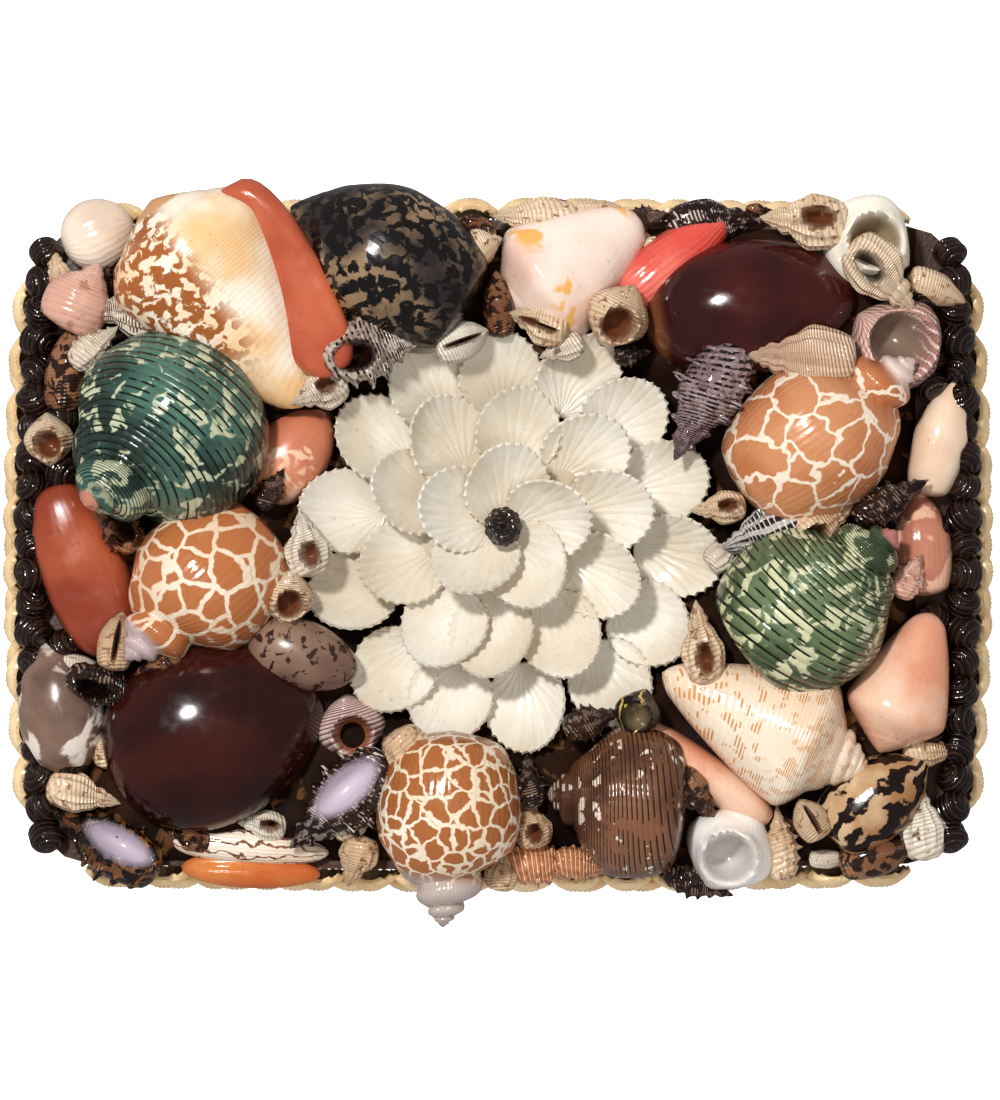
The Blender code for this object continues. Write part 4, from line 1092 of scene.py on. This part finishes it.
LARGE_SNAILS = (
    Snail("mottled_conch", DOME, "mottled", -0.0725, 0.0625, 126, 0.0650, 0.0455, sink=0.14),
    Snail("black_volute", OLIVE, "volute", -0.0275, 0.0700, 150, 0.0530, 0.0390, sink=0.22),
    Snail("pink_wedge_conch", CONE, "pink_white", 0.0190, 0.0690, 214, 0.0425, 0.0335, sink=0.30),
    Snail("moon_snail", GLOBE, "moon_white", 0.0930, 0.0775, 150, 0.0265, 0.0245, mouth=ROUND_MOUTH),
    Snail(
        "small_whelk", WHELK, "cream_ribbed", 0.0960, 0.0690, -48, 0.0245, 0.0150, lift=0.010,
        mouth=SIDE_MOUTH,
    ),
    Snail(
        "top_shell", GLOBE, "top_pink", 0.1010, 0.0505, -38, 0.0270, 0.0265, pitch=-20, sink=0.25,
        mouth=Mouth(-0.22, 0.08, 0.66, 0.64, 0.44),
    ),
    Snail("pale_nassa", WHELK, "pale_nassa", 0.0765, 0.0470, 176, 0.0285, 0.0175, lift=0.012),
    Snail("morula", NODULED, "morula", 0.0545, 0.0370, 242, 0.0345, 0.0220, lift=0.008),
    Snail("babylonia_right", BABYLONIA, "babylonia", 0.0810, 0.0260, 39, 0.0560, 0.0390, pitch=8),
    Snail("cream_olive", OLIVE, "olive_cream", 0.1120, 0.0270, 76, 0.0305, 0.0140),
    Snail("pink_conch", OLIVE, "conch_pink", 0.1080, 0.0005, 95, 0.0275, 0.0150),
    Snail("green_turban", TURBAN, "green", 0.0780, -0.0165, 40, 0.0500, 0.0435, pitch=14),
    Snail("pink_cone", CONE, "salmon_cone", 0.1015, -0.0350, 249, 0.0380, 0.0265),
    Snail("striped_conch", CONCH, "striped_conch", 0.0680, -0.0480, -26, 0.0590, 0.0360, sink=0.14),
    Snail("tiger_cone", OLIVE, "tiger", 0.0950, -0.0660, 38, 0.0320, 0.0215),
    Snail("white_nerite", GLOBE, "nerite", 0.0590, -0.0770, 60, 0.0240, 0.0240, mouth=ROUND_MOUTH),
    Snail("striped_snail", MOON, "brown_lines", 0.0300, -0.0650, 175, 0.0360, 0.0390, sink=0.24),
    Snail("giraffe_babylonia", BABYLONIA, "giraffe", -0.0125, -0.0720, 267, 0.0500, 0.0370),
    Snail(
        "lilac_mouth", NODULED, "dark_speckled", -0.0385, -0.0640, 221, 0.0350, 0.0230, lift=0.004,
        mouth=WIDE_MOUTH,
    ),
    Snail(
        "babylonia_left", BABYLONIA, "babylonia_pale", -0.0735, -0.0085, 225, 0.0500, 0.0380, pitch=14,
    ),
    Snail("teal_turban", TURBAN, "teal", -0.0825, 0.0290, 223, 0.0530, 0.0515, pitch=34, sink=0.20),
    Snail("murex", NODULED, "murex", -0.0315, 0.0495, 12, 0.0290, 0.0210, lift=0.011, mouth=SIDE_MOUTH),
    Snail(
        "striped_whelk", WHELK, "grey_brown", -0.0930, 0.0585, 172, 0.0260, 0.0135, lift=0.008,
        mouth=SIDE_MOUTH,
    ),
    Snail(
        "corner_shell", NODULED, "corner_brown", -0.0995, -0.0775, 150, 0.0320, 0.0200, mouth=WIDE_MOUTH,
    ),
    Snail("orange_rock_shell", NODULED, "rock_orange", 0.0120, -0.0810, -5, 0.0220, 0.0135),
    Snail(
        "ribbed_snail", GLOBE, "ribbed_violet", -0.0375, -0.0465, 100, 0.0180, 0.0180, mouth=ROUND_MOUTH,
    ),
    Snail("speckled_whelk", WHELK, "dark_speckled", 0.0555, 0.0820, 5, 0.0255, 0.0125),
    Snail("zebra_nassa", WHELK, "zebra", 0.0670, 0.0035, 200, 0.0225, 0.0150, lift=0.010),
)

LARGE_EGGS = (
    Egg("purple_cowrie_left", "purple_dark", -0.0725, -0.0480, 24, 0.0580, 0.0480, 0.036),
    Egg("purple_cowrie_right", "purple_brown", 0.0640, 0.0600, 190, 0.0545, 0.0350, 0.032, taper=-0.06),
    Egg("pink_cowrie", "salmon_cowrie", -0.0535, 0.0225, 50, 0.0285, 0.0200, 0.018),
    Egg("small_cowrie", "banded_cowrie", -0.0495, -0.0275, -18, 0.0290, 0.0180, 0.017, lift=0.009),
    Egg("grey_cowrie", "grey_cowrie", -0.1110, -0.0415, 97, 0.0345, 0.0220, 0.020),
    Egg("white_clam", "clam_white", -0.1020, 0.0790, 20, 0.0190, 0.0185, 0.013, taper=0.05),
    Egg(
        "terracotta_lip", "terracotta", -0.1050, -0.0065, 110, 0.0460, 0.0220, 0.021, taper=0.05,
        dish=0.15, blunt=0.7,
    ),
    Egg(
        "coral_lip", "coral", 0.0440, 0.0720, 38, 0.0345, 0.0145, 0.020, taper=0.20, dish=0.1, blunt=0.7,
    ),
    Egg("white_olive", "olive_white", -0.0640, -0.0765, -5, 0.0420, 0.0100, 0.012, taper=0.05),
    Egg("orange_lip", "orange_strip", -0.0630, -0.0830, -3, 0.0355, 0.0090, 0.009, taper=0.05),
)

LIPS = (
    Egg(
        "mottled_lip", "lip_red", -0.0550, 0.0670, 121, 0.0550, 0.0220, 0.014, taper=-0.10, dish=0.30,
        roll=-14, lift=0.016, blunt=0.55,
    ),
    Egg(
        "striped_lip", "salmon_cone", 0.0520, -0.0580, -35, 0.0420, 0.0110, 0.020, taper=0.05,
        lift=0.002, blunt=0.6,
    ),
)

# Form, colour, place in millimetres, heading, length, width, lift and, where it has one, its mouth.
FILLERS = (
    (WHELK, "cream", -111.7, 68.9, 100, 13.4, 8.3, 3),
    (NODULED, "dark", -100.2, 66.7, 80, 9.8, 6.8, 3),
    (WHELK, "white", -73.5, 54.8, -12, 16.4, 11.1, 9, SIDE_MOUTH),
    (NODULED, "white", -102.7, 49.5, 40, 15.8, 11.3, 6),
    (NODULED, "brown", -68.7, 17.4, 60, 15.5, 11.8, 9, SIDE_MOUTH),
    (GLOBE, "cream", -114.0, 26.7, 95, 14.1, 13.0, 4, ROUND_MOUTH),
    (WHELK, "white", -45.1, 39.9, 205, 15.8, 11.8, 9, SIDE_MOUTH),
    (WHELK, "brown", -8.3, 79.9, 170, 16.1, 7.7, 6),
    (MOON, "cream", -4.2, 75.4, 20, 10.6, 9.8, 7),
    (WHELK, "cream", 9.1, 83.2, 178, 22.7, 10.9, 4),
    (OLIVE, "cream", 26.2, 84.6, 0, 13.9, 6.6, 3),
    (NODULED, "dark", 38.1, 83.1, 10, 11.8, 7.6, 3),
    (WHELK, "brown", 66.6, 85.0, 0, 7.4, 4.0, 3),
    (WHELK, "cream", 10.4, 55.4, 160, 16.4, 10.9, 9, SLIT_MOUTH),
    (WHELK, "white", 16.2, 50.0, 200, 12.1, 8.0, 8),
    (GLOBE, "cream", 30.3, 57.8, 60, 17.8, 16.4, 9, ROUND_MOUTH),
    (NODULED, "dark", 33.9, 48.1, 10, 9.8, 6.8, 7),
    (WHELK, "white", -32.8, 63.7, 150, 18.4, 9.7, 8, SIDE_MOUTH),
    (WHELK, "white", -16.2, 53.9, 95, 9.2, 5.7, 7),
    (OLIVE, "white", -9.4, 51.3, 20, 14.7, 10.4, 8, SLIT_MOUTH),
    (OLIVE, "cream", 111.2, 65.7, -25, 16.4, 8.5, 4),
    (WHELK, "cream", 55.7, 9.4, 185, 14.6, 8.7, 8, SIDE_MOUTH),
    (WHELK, "cream", 81.1, 3.8, 30, 19.0, 12.7, 9, SIDE_MOUTH),
    (NODULED, "dark", 99.0, 10.3, 28, 21.8, 12.7, 7),
    (WHELK, "cream", 51.8, -24.8, 98, 22.3, 11.3, 9, SIDE_MOUTH),
    (WHELK, "cream", 110.8, -52.3, 0, 16.4, 8.5, 3),
    (WHELK, "brown", 48.6, -62.1, -50, 15.5, 11.6, 7),
    (NODULED, "dark", 50.9, -85.3, -20, 19.2, 10.1, 3),
    (NODULED, "cream", 71.7, -75.7, 95, 20.0, 11.6, 4),
    (OLIVE, "cream", 79.6, -69.9, 120, 11.8, 9.2, 7, SLIT_MOUTH),
    (OLIVE, "white", 84.0, -79.9, 0, 10.0, 5.0, 3),
    (NODULED, "brown", -95.9, 3.5, 140, 16.1, 12.0, 8, SIDE_MOUTH),
    (WHELK, "white", -48.2, 0.4, 100, 17.5, 12.7, 9, SIDE_MOUTH),
    (GLOBE, "cream", -53.1, -13.2, 80, 14.7, 13.5, 9, ROUND_MOUTH),
    (OLIVE, "cream", -96.6, -24.4, 80, 15.5, 9.7, 8, SLIT_MOUTH),
    (WHELK, "brown", -85.4, -29.9, 200, 13.8, 9.7, 8),
    (OLIVE, "white", -105.9, -31.4, -15, 15.3, 7.3, 5),
    (NODULED, "dark", -98.2, -35.7, -20, 24.1, 12.3, 6, SIDE_MOUTH),
    (WHELK, "cream", -105.3, -62.8, -14, 19.8, 10.4, 4),
    (WHELK, "white", -60.4, -71.3, 170, 13.9, 8.0, 4, SIDE_MOUTH),
    (WHELK, "cream", -23.1, -53.2, 300, 16.9, 12.7, 8),
    (NODULED, "dark", 8.0, -60.0, 95, 14.2, 9.9, 6),
    (WHELK, "cream", 8.7, -70.8, 100, 13.2, 10.4, 5, SIDE_MOUTH),
    (GLOBE, "black", 35.4, -42.6, 70, 13.2, 12.2, 8, ROUND_MOUTH),
    (NODULED, "dark", 23.6, -45.1, 20, 15.5, 10.9, 7),
    (WHELK, "cream", 0.9, -82.7, 80, 11.2, 8.7, 3),
    (WHELK, "cream", -35.4, -80.2, 250, 14.1, 10.4, 3),
    (WHELK, "white", 107.9, -70.5, 95, 20.0, 12.0, 3),
    (OLIVE, "brown", -109.5, 44.9, 80, 23.1, 11.1, 5),
    (WHELK, "cream", 77.5, 81.8, 175, 22.9, 14.6, 6, SIDE_MOUTH),
    (MOON, "pink", -107.0, 61.9, 60, 19.2, 17.7, 5),
    (OLIVE, "brown", 96.1, -79.5, 15, 19.8, 10.4, 3),
    (NODULED, "dark", -20.6, 59.6, 30, 12.9, 6.2, 6),
    (OLIVE, "brown", 0.3, 60.9, 95, 17.3, 8.3, 6),
    (NODULED, "dark", -57.8, 13.9, 60, 12.1, 8.3, 7),
    (WHELK, "white", -36.0, -70.3, 30, 15.8, 9.0, 4),
    (NODULED, "orange", 21.9, -81.1, -10, 16.4, 10.9, 3),
    (WHELK, "cream", 40.5, 75.7, 0, 8.2, 5.7, 4),
    (WHELK, "white", 56.3, -3.2, 40, 10.1, 8.3, 7),
    (NODULED, "pink", 103.8, -8.3, 60, 12.9, 10.6, 6),
    (WHELK, "brown", -79.0, -74.6, 160, 14.4, 7.6, 3),
    (WHELK, "dark", 42.8, -51.9, -40, 14.4, 8.3, 5),
    (WHELK, "dark", 110.2, -44.6, 20, 12.9, 9.0, 4),
    (WHELK, "cream", -98.9, -50.7, 80, 12.9, 8.3, 4),
    (OLIVE, "pink", 33.9, 78.5, 0, 10.3, 5.2, 3),
    (WHELK, "dark", 83.9, 43.3, -10, 14.1, 7.6, 7),
)


def filler_shells() -> List[Snail]:
    """Turn the list of small shells, given in millimetres, into shells on the lid."""
    shells = []
    for number, (form, colour, x, y, heading, length, width, lift, *mouth) in enumerate(FILLERS, 1):
        shells.append(
            Snail(
                f"filler_{number}",
                form,
                f"filler_{colour}",
                x * MM,
                y * MM,
                heading,
                length * MM,
                width * MM,
                pitch=FILLER_PITCH * math.sin(2.1 * number),
                roll=FILLER_ROLL * math.sin(1.7 * number),
                lift=(lift + (FILLER_EXTRA if lift > FILLER_RAISED else 0)) * MM,
                mouth=mouth[0] if mouth else None,
            )
        )
    return shells


@dataclass
class Flower:
    """The white flower of cockle valves and the dark shell in its middle.

    centre: its place on the lid.
    length, width, dish, thick, ribs: one valve's sizes and the ribs round its margin.
    fan: the share of a full turn that a valve's margin goes round.
    scallop, rib: how far the ribs stand out past the margin and up from it.
    deep, bowl: the place of a valve's deepest point and its reach, as shares of the length.
    step: how much higher each ring stands than the one outside it.
    tilt, tilt_step, sway: how steep the outer petals stand, what each ring adds and how much
        petals differ.
    roll, roll_sway: how far a petal leans to one side, and how much petals differ.
    drawn, shift: how much further out the flower reaches in front and at its right, and how
        much petals differ.
    core: the half sizes of the mound under the petals.
    rings: each ring's name, its radius and the directions of its petals.
    """

    workshop: Workshop
    centre: Tuple[float, float] = (0.0013, 0.0046)
    length: float = 0.0240
    width: float = 0.0214
    dish: float = 0.0036
    thick: float = 0.0009
    ribs: int = 26
    fan: float = 0.93
    scallop: float = 0.022
    rib: float = 0.00022
    deep: float = 0.42
    bowl: float = 0.56
    step: float = 0.0056
    tilt: float = 19.0
    tilt_step: float = 3.0
    sway: float = 3.0
    roll: float = 9
    roll_sway: float = 7
    drawn: Tuple[float, float] = (0.0065, 0.0030)
    shift: float = 0.0012
    core: Tuple[float, float, float] = (0.031, 0.031, 0.0095)
    rings: Tuple[Tuple[str, float, Tuple[float, ...]], ...] = (
        (
            "petal_ring_outer",
            0.0418,
            (118, 91, 64, 42, 16, -8.5, -33.5, -55, -82, -107, -127, -156, 174.5, 145),
        ),
        ("petal_ring_middle", 0.0278, (124, 81, 42, 160, 200, 240, 265, 298, 334, 10)),
        ("petal_inner", 0.0135, (14, 86, 158, 230, 302)),
    )

    def valve(
        self, name: str, across: int, out: int, dish: float, ribs: int, relief: float = 0.0001
    ) -> bpy.types.Object:
        """Shape a grid into one cockle valve, its beak at the origin and its margin along +X.

        Args:
            name: the piece's name.
            across, out: how finely it is divided.
            dish: its depth, positive for hollow side up.
            ribs: how many ribs its margin has.
            relief: the height of the ribs inside the margin.
        Returns:
            The valve.
        """
        item = add_grid(f"{name}_look", across, out)
        points = read_points(item.data)
        fan = points[:, 0].copy()
        reach = (points[:, 1] + 1) / 2
        turn = math.pi * self.fan * fan
        wave = np.cos(2 * math.pi * ribs * (fan + 1) / 2)
        edge = 1 + self.scallop * wave * reach**8
        flat_x = self.length * (0.50 + 0.50 * np.cos(turn)) * reach * edge
        flat_y = self.width / 2 * np.sin(turn) * (1 - 0.10 * np.cos(turn)) * reach * edge
        off_x = (flat_x - self.length * self.deep) / (self.length * self.bowl)
        off = off_x**2 + (flat_y / (self.width * 0.5)) ** 2
        height = dish * np.clip(off, 0, 1.6) + (relief + self.rib * reach**4) * wave * reach
        write_points(item.data, np.stack((flat_x, flat_y, height), axis=1))
        unroll(item.data, fan * 0.24 + 0.5, reach, 0.0)
        write_shares(item.data, reach)
        apply_modifier(item, "WELD", merge_threshold=0.00001)
        apply_modifier(item, "SOLIDIFY", thickness=self.thick, offset=0.0)
        return item

    def petal(
        self, name: str, radius: float, heading: float, tier: int, tilt: float, roll: float
    ) -> bpy.types.Object:
        """Make a petal and put it in its ring, tilted outward and rolled a little to one side.

        Args:
            name: the piece's name.
            radius, heading: where it stands round the flower's middle.
            tier: its ring, 0 for the outer one.
            tilt, roll: how it is turned, in degrees.
        Returns:
            The petal.
        """
        item = self.valve(name, 78, 16, self.dish, self.ribs)
        out = Matrix.Translation((radius - self.length / 2, 0, 0))
        item.data.transform(turned(heading, "Z") @ out @ turned(-tilt, "Y") @ turned(roll, "X"))
        points = read_points(item.data)
        lift = BED + tier * self.step - points[:, 2].min() + 0.0002
        write_points(item.data, points + np.array((self.centre[0], self.centre[1], lift)))
        return item

    def ring(self, tier: int, name: str, radius: float, headings: Sequence[float]) -> List[bpy.types.Object]:
        """Make the petals of one ring, each turned and shifted a little unlike the others.

        Args:
            tier: the ring, 0 for the outer one.
            name: the ring's name.
            radius: its radius.
            headings: the directions of its petals.
        Returns:
            The petals.
        """
        petals = []
        front, right = self.drawn
        for index, heading in enumerate(headings):
            turn = math.radians(heading)
            drawn = front * max(0.0, -math.sin(turn)) + right * max(0.0, math.cos(turn))
            out = radius + drawn * (2 - tier) / 2 + self.shift * math.sin(3.7 * index + 1)
            tilt = self.tilt + self.sway * math.sin(2.3 * index + tier) + tier * self.tilt_step
            roll = self.roll + self.roll_sway * math.sin(4.1 * index + tier)
            petals.append(self.petal(f"{name}_{index + 1}", out, heading, tier, tilt, roll))
        return petals

    def build(self) -> None:
        """Make every ring of petals, the mound under them and the button."""
        for tier, (name, radius, headings) in enumerate(self.rings):
            petals = self.ring(tier, name, radius, headings)
            if name == "petal_inner":
                for index, petal in enumerate(petals):
                    self.workshop.complete(petal, "petal_white", [f"{name}_{index + 1}"])
            else:
                self.workshop.complete(join(petals, name), "petal_white", [name])
        self.mound()
        self.button()

    def mound(self) -> None:
        """Make the pale mound that the petals are set in."""
        item = add_sphere("flower_core", 48, 24)
        points = read_points(item.data)
        lump = 1 + 0.05 * np.sin(points[:, 0] * 9) * np.cos(points[:, 1] * 8)
        middle = np.array((self.centre[0], self.centre[1], BED))
        write_points(item.data, points * lump[:, None] * np.array(self.core) + middle)
        write_shares(item.data, np.ones(len(points)))
        flatten_under(item.data, BED)
        self.workshop.complete(item, "glue_pale")

    def button(self) -> None:
        """Make the dark noduled shell in the middle."""
        low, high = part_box("flower_button")
        item = add_sphere("flower_button", 48, 32)
        along, turn, angle = sphere_angles(item)
        knobs = np.cos(9 * angle) * np.cos(2 * math.pi * 4 * along)
        radius = np.sin(math.pi * along) * (1 + 0.07 * knobs)
        points = np.stack((radius * np.cos(angle), radius * np.sin(angle), np.cos(math.pi * along)), axis=1)
        points = points * np.array((high - low) / 2) + np.array((high + low) / 2)
        unroll(item.data, turn, along * 3, 0.0)
        write_points(item.data, points)
        write_shares(item.data, along)
        self.workshop.complete(item, "button_dark", ["flower_button"])


@dataclass
class Beads:
    """The small dark glossy shells along both ends of the lid.

    pitch, size: the spacing and the width of one bead.
    squat: its height as a share of its width.
    lean, about: how far its tip leans over, in degrees, and how far each bead is turned round
        from the one before, in radians.
    out, bow, half: how far out the rows stand at the corners, how much further in the
        middle, and half the length that the bow runs over.
    gap, corner: how far inside the inner beads stand, and where they stop.
    rise: how high a bead's middle stands, as a share of its size.
    """

    workshop: Workshop
    pitch: float = 0.0072
    size: float = 0.0092
    squat: float = 0.85
    lean: float = 50.0
    about: float = 1.9
    out: float = 0.1142
    bow: float = 0.0045
    half: float = 0.083
    gap: float = 0.0078
    corner: float = 0.066
    rise: float = 0.42

    def bead(self, name: str, place: Tuple[float, float, float], index: int) -> bpy.types.Object:
        """Make one bead, a squat snail that shows its whorls.

        Args:
            name: the piece's name.
            place: its middle.
            index: its number, which varies its size and its direction.
        Returns:
            The bead.
        """
        item = add_sphere(name, 20, 14)
        along, turn, angle = sphere_angles(item)
        spiral = along * 2.4 + turn
        radius = np.sin(math.pi * along) ** 0.8 * (1 + 0.07 * np.cos(2 * math.pi * spiral))
        size = self.size / 2 * (1 + 0.10 * math.sin(3.1 * index))
        height = np.cos(math.pi * along) * self.squat
        points = np.stack((radius * np.cos(angle), radius * np.sin(angle), height), axis=1)
        unroll(item.data, turn, spiral, 1.0)
        write_shares(item.data, along)
        write_points(item.data, points * size)
        about = Matrix.Rotation(self.about * index, 4, "Z")
        item.data.transform(Matrix.Translation(place) @ about @ turned(self.lean, "X"))
        return item

    def build(self) -> None:
        """Make the rows on both ends and join each row into one piece."""
        for side, name in ((-1, "bead_row_left"), (1, "bead_row_right")):
            low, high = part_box(name)
            reach = high.y - low.y
            count = int(reach / self.pitch)
            beads = []
            for index in range(count + 1):
                y = low.y + reach * index / count
                outer = self.out + self.bow * (1 - (y / self.half) ** 2)
                lift = BED + self.size * self.rise
                beads.append(self.bead(f"{name}_{index}", (side * outer, y, lift), index))
                if (index * 7 + side) % 3 and abs(y) < self.corner:
                    place = (side * (outer - self.gap), y + self.pitch / 2, lift + 0.001)
                    beads.append(self.bead(f"{name}_in_{index}", place, index + 5))
            self.workshop.complete(join(beads, name), "bead_dark", [name])


@dataclass(frozen=True)
class Side:
    """One side of the box.

    solid: the row of cockles on it.
    facing: the direction that it faces.
    axis: 0 where it runs along X and 1 where it runs along Y.
    bow, half: how much its middle stands out, and half its length.
    """

    solid: str
    facing: int
    axis: int
    bow: float
    half: float


@dataclass
class Cockles:
    """The ribbed cream cockles round the sides of the box and of the lid.

    past: how far they stand out past their solids.
    lower, upper: the length and the spacing of the cockles on the box and on the lid.
    inset: how much less far out those on the lid stand.
    overlap: how much wider a cockle is than its spacing.
    dish, ribs, relief: its depth, and the number and height of its ribs.
    """

    workshop: Workshop
    flower: Flower
    past: float = 0.0018
    lower: Tuple[float, float] = (0.0172, 0.0150)
    upper: Tuple[float, float] = (0.0145, 0.0132)
    inset: float = 0.001
    overlap: float = 0.0006
    dish: float = 0.0042
    ribs: int = 14
    relief: float = 0.00045
    sides: Tuple[Side, ...] = (
        Side("cockle_row_right", 0, 1, 0.0045, 0.083),
        Side("cockle_row_back", 90, 0, 0.002, 0.121),
        Side("cockle_row_left", 180, 1, 0.0045, 0.083),
        Side("cockle_row_front", 270, 0, 0.002, 0.121),
    )

    def row(
        self, name: str, side: Side, top: float, sizes: Tuple[float, float], out: float
    ) -> bpy.types.Object:
        """Make one row of cockles.

        Args:
            name: the row's name.
            side: the side that it lies along.
            top: the height of its upper edge.
            sizes: each cockle's length and the spacing.
            out: how far out the row stands.
        Returns:
            The row as one piece.
        """
        long, step = sizes
        low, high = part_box(side.solid)
        run = high[side.axis] - low[side.axis]
        count = max(1, round(run / step))
        scale = Matrix.Diagonal((long / self.flower.length, (step + self.overlap) / self.flower.width, 1, 1))
        upright = turned(90, "Y")
        turn = turned(side.facing, "Z")
        cockles = []
        for index in range(count):
            along = low[side.axis] + run * (index + 0.5) / count
            item = self.flower.valve(f"{name}_{index}", 56, 8, -self.dish, self.ribs, self.relief)
            item.data.transform(upright @ scale)
            points = read_points(item.data)
            points[:, 0] -= points[:, 0].max()
            points[:, 2] += top - points[:, 2].max()
            write_points(item.data, points)
            shift = out - side.bow * (along / side.half) ** 2
            place = along if side.facing in (0, 270) else -along
            item.data.transform(turn @ Matrix.Translation((shift, place, 0)))
            cockles.append(item)
        return join(cockles, name)

    def build(self) -> None:
        """Make the rows on all four sides, one on the box and one on the lid."""
        for side in self.sides:
            name = side.solid
            low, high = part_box(name)
            out = max(abs(low[1 - side.axis]), abs(high[1 - side.axis])) + self.past
            lower = self.row(name, side, high.z, self.lower, out)
            self.workshop.complete(lower, "cockle_cream", [name])
            upper = self.row(f"{name}_upper", side, LID_TOP, self.upper, out - self.inset)
            self.workshop.complete(upper, "cockle_cream")


@dataclass
class GlueShadeBed:
    """The lumpy bed of glue between the shells, coloured dark: partly the glue's own brown and partly
    painted shade in the gaps between the shells.

    half_x, half_y: half its sizes.
    height, lumps, lump_scale: its height, how much that varies and how often.
    clear, blend: how far from the flower's middle it starts, and over what distance.
    edge: how steeply it rises from its rim.
    """

    workshop: Workshop
    flower: Flower
    half_x: float = 0.1065
    half_y: float = 0.0805
    height: float = 0.0065
    lumps: float = 0.0035
    lump_scale: float = 110.0
    clear: float = 0.050
    blend: float = 0.008
    edge: float = 9.0

    def build(self) -> None:
        """Shape a grid into the bed and give it thickness."""
        item = add_grid("glue_shade_bed", 110, 76)
        points = read_points(item.data)
        x = points[:, 0] * self.half_x
        y = points[:, 1] * self.half_y
        height = np.empty(len(points))
        for index, (place_x, place_y) in enumerate(zip(x, y)):
            lump = noise.noise(Vector((place_x * self.lump_scale, place_y * self.lump_scale, 0.7)))
            far = math.hypot(place_x - self.flower.centre[0], place_y - self.flower.centre[1])
            share = min(1.0, max(0.0, (far - self.clear) / self.blend))
            height[index] = (self.height + self.lumps * lump) * share + 0.0002
        edge = np.minimum(1 - np.abs(points[:, 0]), 1 - np.abs(points[:, 1])) * self.edge
        height = height * np.clip(edge, 0, 1) ** 0.5
        write_points(item.data, np.stack((x, y, LID_TOP + GLUE_DEPTH + height), axis=1))
        unroll(item.data, points[:, 0] * 0.2 + 0.5, points[:, 1], 0.0)
        write_shares(item.data, np.ones(len(points)))
        body = bmesh.new()
        body.from_mesh(item.data)
        made = bmesh.ops.extrude_face_region(body, geom=body.faces[:])
        for part in made["geom"]:
            if isinstance(part, bmesh.types.BMVert):
                part.co.z = LID_TOP + GLUE_DEPTH / 2
        bmesh.ops.recalc_face_normals(body, faces=body.faces)
        body.to_mesh(item.data)
        body.free()
        # The bed's dark colour is partly the glue and partly painted shade between the shells.
        self.workshop.complete(item, "glue_dark_painted_shade")


@dataclass(frozen=True)
class Lamp:
    """A soft square light that faces the box.

    place: where it hangs.
    size, power: its side and its power.
    glints: whether it shows in glossy surfaces.
    """

    name: str
    place: Tuple[float, float, float]
    size: float
    power: float
    glints: bool


@dataclass
class Studio:
    """Floor, lights and camera.

    height, lens, shift: the camera's height, its lens and how far it stands off the middle.
    aim: the height that the lamps face.
    floor, floor_glow, air: the shade of the floor, its own glow and the light from all round.
    """

    height: float = 1.675
    lens: float = 207.0
    shift: Tuple[float, float] = (0.0005, -0.0013)
    aim: float = 0.06
    floor: float = 0.92
    floor_glow: float = 0.75
    air: float = 0.21
    lamps: Tuple[Lamp, ...] = (
        Lamp("key", (-0.36, 0.42, 1.25), 0.12, 12.5, True),
        Lamp("fill", (0.30, -0.15, 1.45), 0.60, 5.5, False),
        Lamp("rim", (-0.60, -0.50, 0.80), 0.50, 1.0, False),
    )

    def build(self) -> None:
        """Set the plain pale floor, the soft light and the overhead camera."""
        self.lay_floor()
        world = bpy.data.worlds.new("studio")
        bpy.context.scene.world = world
        world.use_nodes = True
        sky = world.node_tree.nodes["Background"]
        sky.inputs["Color"].default_value = (1, 1, 1, 1)
        sky.inputs["Strength"].default_value = self.air
        for lamp in self.lamps:
            self.hang(lamp)
        view = bpy.data.cameras.new("camera")
        view.lens = self.lens
        view.clip_end = 10.0
        camera = bpy.data.objects.new("camera", view)
        bpy.context.scene.collection.objects.link(camera)
        camera.location = (*self.shift, self.height)
        bpy.context.scene.camera = camera
        bpy.context.scene.view_settings.view_transform = "Standard"
        bpy.context.scene.view_settings.look = "Medium High Contrast"

    def lay_floor(self) -> None:
        """Lay the pale floor that glows a little, so that it stays plain."""
        bpy.ops.mesh.primitive_plane_add(size=6.0, location=(0, 0, -0.0005))
        floor = bpy.context.object
        floor.name = "floor"
        material = bpy.data.materials.new("floor_pale")
        material.use_nodes = True
        shader = material.node_tree.nodes["Principled BSDF"]
        shader.inputs["Base Color"].default_value = (self.floor, self.floor, self.floor, 1)
        shader.inputs["Roughness"].default_value = 0.9
        shader.inputs["Emission Color"].default_value = (1, 1, 1, 1)
        shader.inputs["Emission Strength"].default_value = self.floor_glow
        floor.data.materials.append(material)
        floor.visible_glossy = False

    def hang(self, lamp: Lamp) -> None:
        """Hang one lamp and face it to the box."""
        data = bpy.data.lights.new(lamp.name, "AREA")
        data.energy = lamp.power
        data.size = lamp.size
        light = bpy.data.objects.new(lamp.name, data)
        bpy.context.scene.collection.objects.link(light)
        light.location = lamp.place
        light.visible_glossy = lamp.glints
        aim = Vector((0, 0, self.aim)) - Vector(lamp.place)
        light.rotation_euler = aim.to_track_quat("-Z", "Y").to_euler()


def dress_wood(paint: Paint) -> None:
    """Give the box and the lid their dark wood."""
    for name in ("box_body", "lid"):
        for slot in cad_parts[name].material_slots:
            slot.material = paint.give(FINISHES["wood_dark"])


def main() -> None:
    """Build the scene in order."""
    paint = Paint(Shelf())
    workshop = Workshop(paint)
    dress_wood(paint)
    flower = Flower(workshop)
    GlueShadeBed(workshop, flower).build()
    mosaic = Mosaic(workshop)
    mosaic.lay(LARGE_SNAILS, LARGE_EGGS, True)
    mosaic.lay(filler_shells(), LIPS, False)
    flower.build()
    Beads(workshop).build()
    Cockles(workshop, flower).build()
    Studio().build()


if __name__ == "__main__":
    main()
